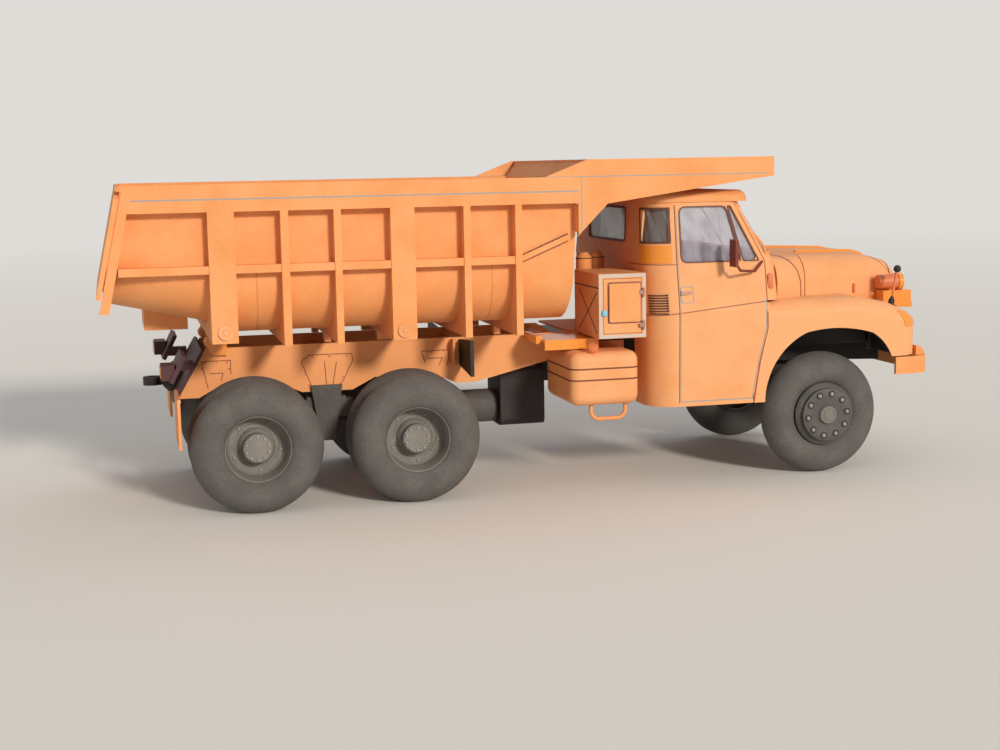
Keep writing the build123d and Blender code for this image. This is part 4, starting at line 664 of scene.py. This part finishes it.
DISC_CAP = ((0.0, 7.05), (1.3, 7.02), (1.5, 6.85), (1.7, 6.85), (1.85, 7.02), (2.3, 6.95), (2.48, 6.7),
            (2.5, 5.9), (0.0, 5.9))
DISC_CAP_STEPS = 48
NUT_PROFILE = ((0.0, 0.62), (0.3, 0.55), (0.52, 0.35), (0.6, 0.0), (0.6, -0.1), (0.0, -0.1))
NUT_RING = ((0.62, 0.0), (0.98, 0.0), (0.98, 0.1), (0.86, 0.16), (0.74, 0.1), (0.62, 0.1), (0.62, 0.0))
NUT_CIRCLE, NUT_FACE, NUT_COUNT, NUT_TURN = 5.85, 6.25, 10, 0.2
HUB_FACE = 6.9             # from the middle of the twins
WEB_FACE = 2.6
REAR_RIM = (
    (0.0, HUB_FACE), (2.3, HUB_FACE), (3.5, 6.85), (3.75, 6.6), (3.8, 4.4), (4.4, 3.9), (4.9, WEB_FACE),
    (5.6, WEB_FACE - 0.2), (5.9, WEB_FACE), (6.9, WEB_FACE), (7.5, WEB_FACE + 0.5), (7.9, 4.6), (8.05, 7.6),
    (8.3, 8.3), (8.5, 8.4), (8.5, -8.4), (8.1, -8.4), (7.9, -6.0), (7.6, -2.6), (1.75, -2.6), (1.75, 5.4),
    (0.0, 5.4), (0.0, HUB_FACE))
BOLT = ((0.0, 0.42), (0.3, 0.36), (0.42, 0.1), (0.42, -0.1), (0.0, -0.1))
HUB_BOLT_CIRCLE, HUB_BOLT_COUNT = 3.0, 10
WEB_BOLT_CIRCLE, WEB_BOLT_COUNT, WEB_BOLT_TURN = 6.4, 5, 0.5


def ring_of(profile, centre, circle, face, count, steps, first=0.0):
    """A small turned shape, repeated in a circle on a face of a wheel."""
    place = centre + Vector((0, 0, circle * MM)) + Vector(OUTWARD) * face * MM
    return around(turned(profile, place, OUTWARD, steps), centre, count, first)


def model_front_wheel():
    """The front wheel's pieces, on the rear axle's line: (name, piece, slot, material, CAD node replaced)."""
    centre = at(0.0, -FRONT_WHEEL_Y, WHEEL_R)
    return (
        ("tyre_skin_front_{side}", turned(TYRE_PROFILE, centre, OUTWARD, TYRE_STEPS), "tyre_card", TYRE,
         "tyre_front_{side}"),
        ("disc_seat_{side}", turned(DISC_SEAT, centre, OUTWARD, RIM_STEPS), "rim_card", DISC, None),
        ("disc_face_{side}", turned(DISC_FACE, centre, OUTWARD, RIM_STEPS), "rim_card", DISC, None),
        ("disc_cap_{side}", turned(DISC_CAP, centre, OUTWARD, DISC_CAP_STEPS), "rim_card", HUB, None),
        ("nut_rings_{side}", ring_of(NUT_RING, centre, NUT_CIRCLE, NUT_FACE, NUT_COUNT, 16, NUT_TURN),
         "rim_card", BLACK, None),
        ("nuts_front_{side}", ring_of(NUT_PROFILE, centre, NUT_CIRCLE, NUT_FACE, NUT_COUNT, 14, NUT_TURN),
         "rim_card", NUT, None),
    )


def model_rear_wheel():
    """The pieces of a wheel with twin tyres, in the same form."""
    middle = at(0.0, -TWINS_Y, WHEEL_R)
    tyre = turned(TYRE_PROFILE, middle - Vector((0, TWIN_SHIFT * MM, 0)), (0, 1, 0), TYRE_STEPS)
    tyres = join([tyre, twin(tyre, Matrix.Translation((0, 2 * TWIN_SHIFT * MM, 0)))])
    bolts = join([ring_of(BOLT, middle, HUB_BOLT_CIRCLE, HUB_FACE, HUB_BOLT_COUNT, 10),
                  ring_of(BOLT, middle, WEB_BOLT_CIRCLE, WEB_FACE, WEB_BOLT_COUNT, 10, WEB_BOLT_TURN)])
    return (
        ("tyre_skins_{axle}_{side}", tyres, "tyre_card", TYRE, "tyres_{axle}_{side}"),
        ("rim_skin_{axle}_{side}", turned(REAR_RIM, middle, OUTWARD, RIM_STEPS), "rim_card", HUB,
         "rim_{axle}_{side}"),
        ("bolts_{axle}_{side}", bolts, "rim_card", NUT, None),
    )


front_wheel, rear_wheel = model_front_wheel(), model_rear_wheel()
AXLES = (("front", 156.56, front_wheel), ("middle", 41.25, rear_wheel), ("rear", 0.0, rear_wheel))
for side, mirror in (("left", MIRROR), ("right", Matrix.Identity(4))):
    for axle, x, pieces in AXLES:
        for name, model, slot, material, replaced in pieces:
            copy = twin(model, Matrix.Translation((x * MM, 0, 0)) @ mirror)
            keep(copy, name.format(axle=axle, side=side), f"wheel_{axle}_{side}", material,
                 smooth=TYRE_SMOOTH if material == TYRE else SMOOTH)
            if replaced:
                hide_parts(replaced.format(axle=axle, side=side))
for _, model, *_ in front_wheel + rear_wheel:
    bpy.data.objects.remove(model)

# Cab. Its side is upright to the crease, leans in to the belt and further in to the roof: (z, half width).
CAB_SIDE = ((21.8, 37.6), (47.5, 38.0), (60.2, 35.8), (76.4, 33.6))
CAB_BELT, CAB_TOP = 60.2, 76.4
CAB_REAR, CAB_REAR_LEAN = 104.6, 0.6
CAB_FRONT, CAB_FRONT_LEAN = 142.2, 9.8
REAR_CORNER_R, FRONT_CORNER_R = 8.0, 5.0
LAID_ON = 0.02             # how far a piece's back lies off the cab's side
FRAME_THICK = 0.16


def cab_y(z):
    """Half width of the cab at a height."""
    for (z0, y0), (z1, y1) in zip(CAB_SIDE, CAB_SIDE[1:]):
        if z < z1:
            break
    return y0 + (z - z0) * (y1 - y0) / (z1 - z0)


def above_belt(z):
    """How far up a height is from the belt to the roof, from 0 to 1."""
    return max(0.0, z - CAB_BELT) / (CAB_TOP - CAB_BELT)


def rear_line(z):
    return CAB_REAR + above_belt(z) * CAB_REAR_LEAN


def front_line(z):
    return CAB_FRONT - above_belt(z) * CAB_FRONT_LEAN


def on_side(outline, proud=LAID_ON):
    """Points (x, z) laid on the cab's right side, so many mm outside it."""
    return [at(x, -(cab_y(z) + proud), z) for x, z in outline]


def round_corner(z, x_line, radius, turns, inset, ahead):
    """Points in plan round a corner of the cab, from the side (0 degrees) to its front or rear (90)."""
    centre_x, centre_y = x_line - ahead * radius, cab_y(z) - radius
    reach = radius - inset
    return [at(centre_x + ahead * reach * sin(radians(turn)), -(centre_y + reach * cos(radians(turn))), z)
            for turn in turns]


def rear_corner(z, turns, inset, x_line=CAB_REAR):
    """The same for the right rear corner, so far inside its surface."""
    return round_corner(z, x_line, REAR_CORNER_R, turns, inset, ahead=-1)


# Window frames of the door
DOOR_PANE = [(113.8, 60.3), (131.5, 60.3), (127.6, 75.4), (113.8, 75.4)]
QUARTER_PANE = [(131.7, 60.3), (136.5, 60.3), (128.8, 75.4), (127.7, 75.4)]
window_frames = join([
    frame_plate(on_side(DOOR_PANE), width=0.38, way=(0, -FRAME_THICK, 0), corner=1.8),
    frame_plate(on_side(QUARTER_PANE), width=0.34, way=(0, -FRAME_THICK, 0), corner=0.5)])
keep_pair(window_frames, "window_frames", INK_LINE)

# Corner windows: film and frame
CORNER_WINDOW_TURNS = (12, 20, 30, 40, 50, 60, 70, 80)
CORNER_WINDOW_Z = (65.6, 75.2)


def corner_window(inset):
    low, high = (rear_corner(z, CORNER_WINDOW_TURNS, inset, rear_line(z)) for z in CORNER_WINDOW_Z)
    return skin(low, high, cuts=4)


keep_pair(wall(corner_window(inset=0.5), thickness=0.2), "corner_films", FILM_WITH_PAINTED_SHADE)
corner_frames = border(corner_window(inset=-0.08), width=0.6, thickness=0.2)
keep_pair(corner_frames, "corner_window_frames", INK_LINE)

# Rear window: film and frame
REAR_FILM_X = 105.0        # just inside the rear wall
REAR_FILM = ((-16.4, 65.6), (16.4, 65.6), (16.4, 75.0), (-16.4, 75.0))
REAR_FRAME_X, REAR_FRAME_LEAN = 104.55, 0.037      # at the belt, and for each mm up
REAR_FRAME = ((-16.6, 65.4), (16.6, 65.4), (16.6, 75.3), (-16.6, 75.3))
rear_film = plate([at(REAR_FILM_X, y, z) for y, z in REAR_FILM], way=(0.2, 0, 0))
keep(rear_film, "rear_film", "chassis", FILM_WITH_PAINTED_SHADE)
rear_frame = frame_plate([at(REAR_FRAME_X + (z - CAB_BELT) * REAR_FRAME_LEAN, y, z) for y, z in REAR_FRAME],
                         width=0.6, way=(-FRAME_THICK, 0, 0), corner=1.6)
keep(rear_frame, "rear_window_frame", "chassis", INK_LINE)

# Windscreen: the frame round it and the bar down its middle
SCREEN_TURNS = (28, 40, 52, 64, 76, 90)
SCREEN_Z = (62.0, 75.2)
SCREEN_BAR = ((-0.35, 62.2), (0.35, 62.2), (0.35, 75.0), (-0.35, 75.0))
SCREEN_FOOT_X, SCREEN_SLOPE = 140.95, 0.605


def screen_path(z):
    """Along the windscreen at a height, from the right side round to the left."""
    right = round_corner(z, front_line(z), FRONT_CORNER_R, SCREEN_TURNS, inset=-0.06, ahead=1)
    last = right[-1]
    right += [Vector((last.x, last.y * part, last.z)) for part in (0.66, 0.33, 0.0)]
    return right + [Vector((point.x, -point.y, point.z)) for point in reversed(right[:-1])]


low, high = (screen_path(z) for z in SCREEN_Z)
screen_frame = border(skin(low, high, cuts=4), width=0.8, thickness=0.22)
keep(screen_frame, "screen_frame", "chassis", ORANGE)
bar = plate([at(SCREEN_FOOT_X - (z - SCREEN_BAR[0][1]) * SCREEN_SLOPE, y, z) for y, z in SCREEN_BAR],
            way=(0.3, 0, 0))
keep(bar, "screen_bar", "chassis", ORANGE)

# The amber panel under the corner window, and the vent below it
RECESS_TURNS = (9, 18, 28, 38, 48, 58, 68, 78)
RECESS_Z = (60.4, 65.0)
recess = skin(rear_corner(RECESS_Z[0], RECESS_TURNS, inset=-0.1),
              rear_corner(RECESS_Z[1], RECESS_TURNS, inset=-0.1, x_line=rear_line(RECESS_Z[1])), cuts=2)
keep_pair(wall(recess, thickness=0.16), "recess_panels", AMBER)
VENT_TURNS = (20, 30, 40, 50, 61)
VENT_FOOT, VENT_STEP, VENT_COUNT, SLAT_HEIGHT = 46.9, 0.69, 8, 0.3
slats = []
for index in range(VENT_COUNT):
    z = VENT_FOOT + VENT_STEP * index
    slat = skin(rear_corner(z, VENT_TURNS, inset=-0.1),
                rear_corner(z + SLAT_HEIGHT, VENT_TURNS, inset=-0.22))
    slats.append(wall(slat, thickness=0.14))
keep_pair(join(slats), "cab_vents", INK_LINE)

# Door handles and side lamps
HANDLE_PLATE = [(113.3, 49.7), (117.0, 49.7), (117.0, 54.2), (113.3, 54.2)]
HANDLE_GRIP = [(113.2, 51.9), (116.3, 52.2), (116.3, 52.8), (113.9, 52.8), (113.2, 53.2)]
handle_plate = frame_plate(on_side(HANDLE_PLATE), width=0.22, way=(0, -0.12, 0), corner=0.5)
keep_pair(handle_plate, "handle_recesses", PALE_LINE)
handle_grip = plate(on_side(HANDLE_GRIP), way=(0, -0.55, 0), corner=0.2)
keep_pair(handle_grip, "door_handles", MAUVE_PALE)
side_lamp = block((138.3, -37.3, 52.5), (140.1, -35.6, 56.8), bevel=0.6)
keep_pair(side_lamp, "side_lamps", LAMP_CARD)

# Raised strips on the bonnet
STRIP_SIDE = ((157.0, 60.3), (176.0, 59.7), (180.8, 58.5), (180.8, 59.3), (180.3, 59.9), (176.0, 61.0),
              (157.5, 61.5), (157.0, 61.3))
STRIP_Y, STRIP_LEAN = -14.4, 0.22      # at its rear end, and inward for each mm ahead
strip = plate([at(x, STRIP_Y + (x - STRIP_SIDE[0][0]) * STRIP_LEAN, z) for x, z in STRIP_SIDE],
              way=(0, 1.0, 0))
keep_pair(strip, "bonnet_strips", AMBER)

# The lamp's sheet, wrapped round the wing's front corner
LAMP_PANEL_TURNS = (18, 30, 42, 54, 66)
LAMP_PANEL_R = 9.0         # wider than the wing's corner, onto which the sheet is then laid


def panel_path(x, y, z):
    """Round the wing's front corner at a height."""
    return [at(x + LAMP_PANEL_R * sin(radians(turn)), y - LAMP_PANEL_R * cos(radians(turn)), z)
            for turn in LAMP_PANEL_TURNS]


lamp_panel = skin(panel_path(177.0, -29.8, 40.6), panel_path(175.2, -29.2, 46.2), cuts=6)
bpy.ops.object.mode_set(mode="OBJECT")
settle(lamp_panel)
apply(lamp_panel, "SHRINKWRAP", target=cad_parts["wings"], wrap_method="NEAREST_SURFACEPOINT",
      wrap_mode="OUTSIDE_SURFACE", offset=0.1 * MM)
apply(lamp_panel, "SOLIDIFY", thickness=0.16 * MM, offset=0.0)
keep_pair(lamp_panel, "lamp_surrounds", AMBER)

# Ball and socket of the marker rods
MARKER_TOP, MARKER_FOOT = at(180.4, -31.0, 56.3), at(178.6, -31.0, 46.4)
MARKER_BALL = ((0.0, 1.08), (0.55, 0.93), (0.93, 0.55), (1.08, 0.0), (0.93, -0.55), (0.55, -0.93),
               (0.0, -1.08))
MARKER_SOCKET = ((0.0, 2.3), (0.45, 2.2), (0.6, 1.6), (0.82, 1.4), (0.9, -0.2), (0.0, -0.2))
keep_pair(join([turned(MARKER_BALL, MARKER_TOP, (0, 0, 1), steps=20),
                turned(MARKER_SOCKET, MARKER_FOOT, MARKER_TOP - MARKER_FOOT, steps=20)]),
          "marker_ends", BLACK)

# Lenses and bezels of the lamps
AHEAD = (1, 0, 0)
HEADLAMP, AUX_LAMP = at(186.25, -26.0, 38.6), at(185.0, -24.0, 52.2)
HEADLAMP_LENS = ((0.0, 0.75), (1.2, 0.66), (2.2, 0.42), (2.9, 0.1), (2.9, -0.2), (0.0, -0.2))
HEADLAMP_BEZEL = ((2.85, 0.1), (3.0, 0.4), (3.25, 0.4), (3.4, 0.1), (3.4, -1.0), (2.85, -1.0), (2.85, 0.1))
AUX_LENS = ((0.0, 0.45), (1.0, 0.4), (1.9, 0.15), (2.1, 0.0), (2.1, -0.2), (0.0, -0.2))
AUX_BEZEL = ((2.1, 0.1), (2.3, 0.3), (2.52, 0.2), (2.55, -1.2), (2.4, -1.2), (2.1, -0.2), (2.1, 0.1))
keep_pair(turned(HEADLAMP_LENS, HEADLAMP, AHEAD), "headlamp_lenses", WHITE)
keep_pair(turned(HEADLAMP_BEZEL, HEADLAMP, AHEAD), "headlamp_bezels", DARK_RED)
keep_pair(turned(AUX_LENS, AUX_LAMP, AHEAD), "aux_lamp_lenses", WHITE)
keep_pair(turned(AUX_BEZEL, AUX_LAMP, AHEAD), "aux_lamp_bezels", AMBER)

# Painted shadow: a small block of darker lamp card on the bonnet's side, where the shadow of the marker's
# ball falls.
marker_shadow_block = block((170.7, -23.9, 49.4), (171.4, -22.6, 52.0), bevel=0.25)
keep_pair(marker_shadow_block, "marker_ball_shadows", LAMP_CARD)

# Black lining that closes each wheel arch toward the engine: low corner, high corner
ARCH_LININGS = (((137.6, -21.0, 34.7), (177.0, -20.3, 48.3)), ((176.0, -21.0, 32.7), (184.2, -20.3, 45.0)),
                ((178.0, -37.0, 32.7), (178.6, -20.8, 44.0)))
arch_linings = join([block(low, high, bevel=0.2) for low, high in ARCH_LININGS])
keep_pair(arch_linings, "arch_linings", BLACK)

# Bolts along the plates that are printed on the frame
FRAME_BOLT = ((0.0, 0.25), (0.2, 0.2), (0.3, 0.0), (0.3, -0.1), (0.0, -0.1))
FRAME_BOLT_Y = -14.02
FRAME_BOLTS = (
    (-11.2, 37.0), (-8.1, 36.9), (-5.4, 36.9), (-4.9, 35.2), (-12.0, 35.4), (-11.0, 31.9),
    (15.2, 32.8), (16.2, 29.8), (17.2, 37.2), (21.8, 37.2), (26.4, 37.1), (26.8, 33.6), (25.4, 31.4),
    (47.6, 35.8), (49.9, 37.1), (53.3, 37.1))
bolt = turned(FRAME_BOLT, at(0.0, FRAME_BOLT_Y, 0.0), OUTWARD, steps=8)
bolts = join([twin(bolt, Matrix.Translation((x * MM, 0, z * MM))) for x, z in FRAME_BOLTS])
bpy.data.objects.remove(bolt)
keep_pair(bolts, "frame_bolts", LAMP_CARD)

# Sheets that close the slits beside the hood, in plan from the cab to the nose, and their top edge
SILL_PLAN = ((142.9, -34.0), (148.0, -30.9), (154.1, -27.1), (165.0, -24.6), (176.0, -22.1), (183.6, -20.2))
SILL_TOP = (49.3, 49.3, 49.3, 49.2, 48.9, 48.8)
SILL_FOOT = 43.5
sill = skin([at(x, y, SILL_FOOT) for x, y in SILL_PLAN],
            [at(x, y, top) for (x, y), top in zip(SILL_PLAN, SILL_TOP)])
keep_pair(wall(sill, thickness=0.3), "hood_sills", ORANGE)

# An orange strip on the frame, behind the black bracket
bracket_strip = block((55.0, -17.5, 33.4), (55.6, -14.0, 40.4), bevel=0.12)
keep_pair(bracket_strip, "bracket_strips", ORANGE)

# A sheet just under the wing's rounded top edge, and a strip behind the seam ahead of the door
WING_EDGE_TURNS = (20, 30, 40, 50, 60, 70)
WING_EDGE_Y, WING_EDGE_Z, WING_EDGE_R = -34.0, 45.4, 3.86
WING_EDGE_ENDS = (137.5, 158.5)
rear, fore = ([at(x, WING_EDGE_Y - WING_EDGE_R * sin(radians(turn)),
                  WING_EDGE_Z + WING_EDGE_R * cos(radians(turn))) for turn in WING_EDGE_TURNS]
              for x in WING_EDGE_ENDS)
keep_pair(wall(skin(rear, fore), thickness=0.3), "wing_edges", CAB_CARD)
SEAM_BACKING = [(133.6, 23.2), (135.4, 33.0), (137.5, 42.0), (137.5, 49.0), (138.7, 49.0), (138.7, 42.0),
                (136.6, 33.0), (134.8, 23.2)]
seam_backing = plate(on_side(SEAM_BACKING, proud=-0.35), way=(0, 0.3, 0))
keep_pair(seam_backing, "door_seams", CAB_CARD)

# Body: a round cap with a dot at the foot of each wide rib
RIB_CAPS = ((37.9, 46.0), (-7.2, 47.3))
CAP_RING = ((1.35, 0.0), (1.75, 0.0), (1.75, 0.16), (1.35, 0.16), (1.35, 0.0))
CAP_DOT = ((0.0, 0.3), (0.4, 0.26), (0.6, 0.0), (0.0, 0.0))
RIB_FACE_Y = -39.4
cap_rings = join([turned(CAP_RING, at(x, RIB_FACE_Y, z), OUTWARD) for x, z in RIB_CAPS])
keep_pair(cap_rings, "rib_cap_rings", CAP_CARD, body="bed")
cap_dots = join([turned(CAP_DOT, at(x, RIB_FACE_Y - 0.05, z), OUTWARD, steps=16) for x, z in RIB_CAPS])
keep_pair(cap_dots, "rib_cap_dots", CAP_CARD, body="bed")

# The locker behind the cab: lines on its rear wall, then the hinges, latch and panel of its door
LOCKER_LINES = (
    ((-36.0, 54.5), (-14.7, 54.5)), ((-34.5, 42.5), (-19.0, 53.2)), ((-34.5, 53.2), (-19.0, 42.5)))
LOCKER_REAR_X, LOCKER_LINE_HALF = 90.62, 0.16
lines = []
for (y0, z0), (y1, z1) in LOCKER_LINES:
    way = Vector((0, y1 - y0, z1 - z0)).normalized()
    across = Vector((0, -way.z, way.y)) * LOCKER_LINE_HALF * MM
    first, last = at(LOCKER_REAR_X, y0, z0), at(LOCKER_REAR_X, y1, z1)
    lines.append(plate([first - across, last - across, last + across, first + across], way=(-0.1, 0, 0)))
keep(join(lines), "locker_rear_lines", "chassis", INK_LINE)
HINGE_HEIGHTS = (53.1, 44.4)
LOCKER_FACE_Y = -36.75
HINGE_BARREL = ((0.0, 0.0), (0.42, 0.05), (0.42, 2.35), (0.0, 2.4))
hinges = []
for z in HINGE_HEIGHTS:
    hinges.append(turned(HINGE_BARREL, at(102.9, LOCKER_FACE_Y, z - 1.2), (0, 0, 1), steps=16))
    hinges.append(block((101.7, -37.1, z - 0.6), (102.9, -36.6, z + 0.5), bevel=0.12))
keep(join(hinges), "locker_hinges", "chassis", MAUVE_PALE)
latch = block((91.4, -36.95, 47.1), (92.7, -36.1, 48.6), bevel=0.2)
keep(latch, "locker_latch", "chassis", BLUE)
LOCKER_PANEL = ((93.5, 45.5), (101.9, 45.5), (101.9, 55.5), (93.5, 55.5))
panel = plate([at(x, LOCKER_FACE_Y, z) for x, z in LOCKER_PANEL], way=(0, -0.12, 0), corner=1.3)
keep(panel, "locker_door_skin", "chassis", ORANGE)

# The tank's cap, and the seam round each air cleaner's lid
FILLER_TOP, FILLER_FOOT = at(89.0, -35.4, 38.6), at(89.0, -33.4, 36.2)
FILLER_CAP = ((0.0, 0.9), (0.9, 0.85), (1.2, 0.7), (1.45, 0.65), (1.6, 0.4), (1.6, -0.2), (1.4, -0.35),
              (1.3, -0.6), (0.0, -0.6))
filler_cap = turned(FILLER_CAP, FILLER_TOP, FILLER_TOP - FILLER_FOOT, steps=32)
keep(filler_cap, "filler_cap", "chassis", LAMP_CARD)
CLEANER_TOPS = ((94.9, -9.5, 62.5), (100.2, -4.6, 62.4))
CLEANER_SEAM = ((2.15, 0.0), (2.3, 0.0), (2.3, 0.3), (2.15, 0.3), (2.15, 0.0))
CLEANER_SEAM_BELOW = 1.7   # the top
seams = [turned(CLEANER_SEAM, at(x, y, top - CLEANER_SEAM_BELOW), (0, 0, 1)) for x, y, top in CLEANER_TOPS]
keep(join(seams), "cleaner_seams", "chassis", INK_LINE)

# Tail lamps: three lenses on each plate, from the outside in
TAIL_LENS_Y, TAIL_LENS_STEP, TAIL_LENS_WIDTH = -31.9, 2.3, 2.0
for index, (colour_name, finish) in enumerate((("amber", AMBER), ("red", DARK_RED), ("clear", WHITE))):
    y = TAIL_LENS_Y + TAIL_LENS_STEP * index
    lens = block((-23.25, y, 35.6), (-22.9, y + TAIL_LENS_WIDTH, 38.6), bevel=0.15)
    keep_pair(lens, f"tail_lenses_{colour_name}", finish)
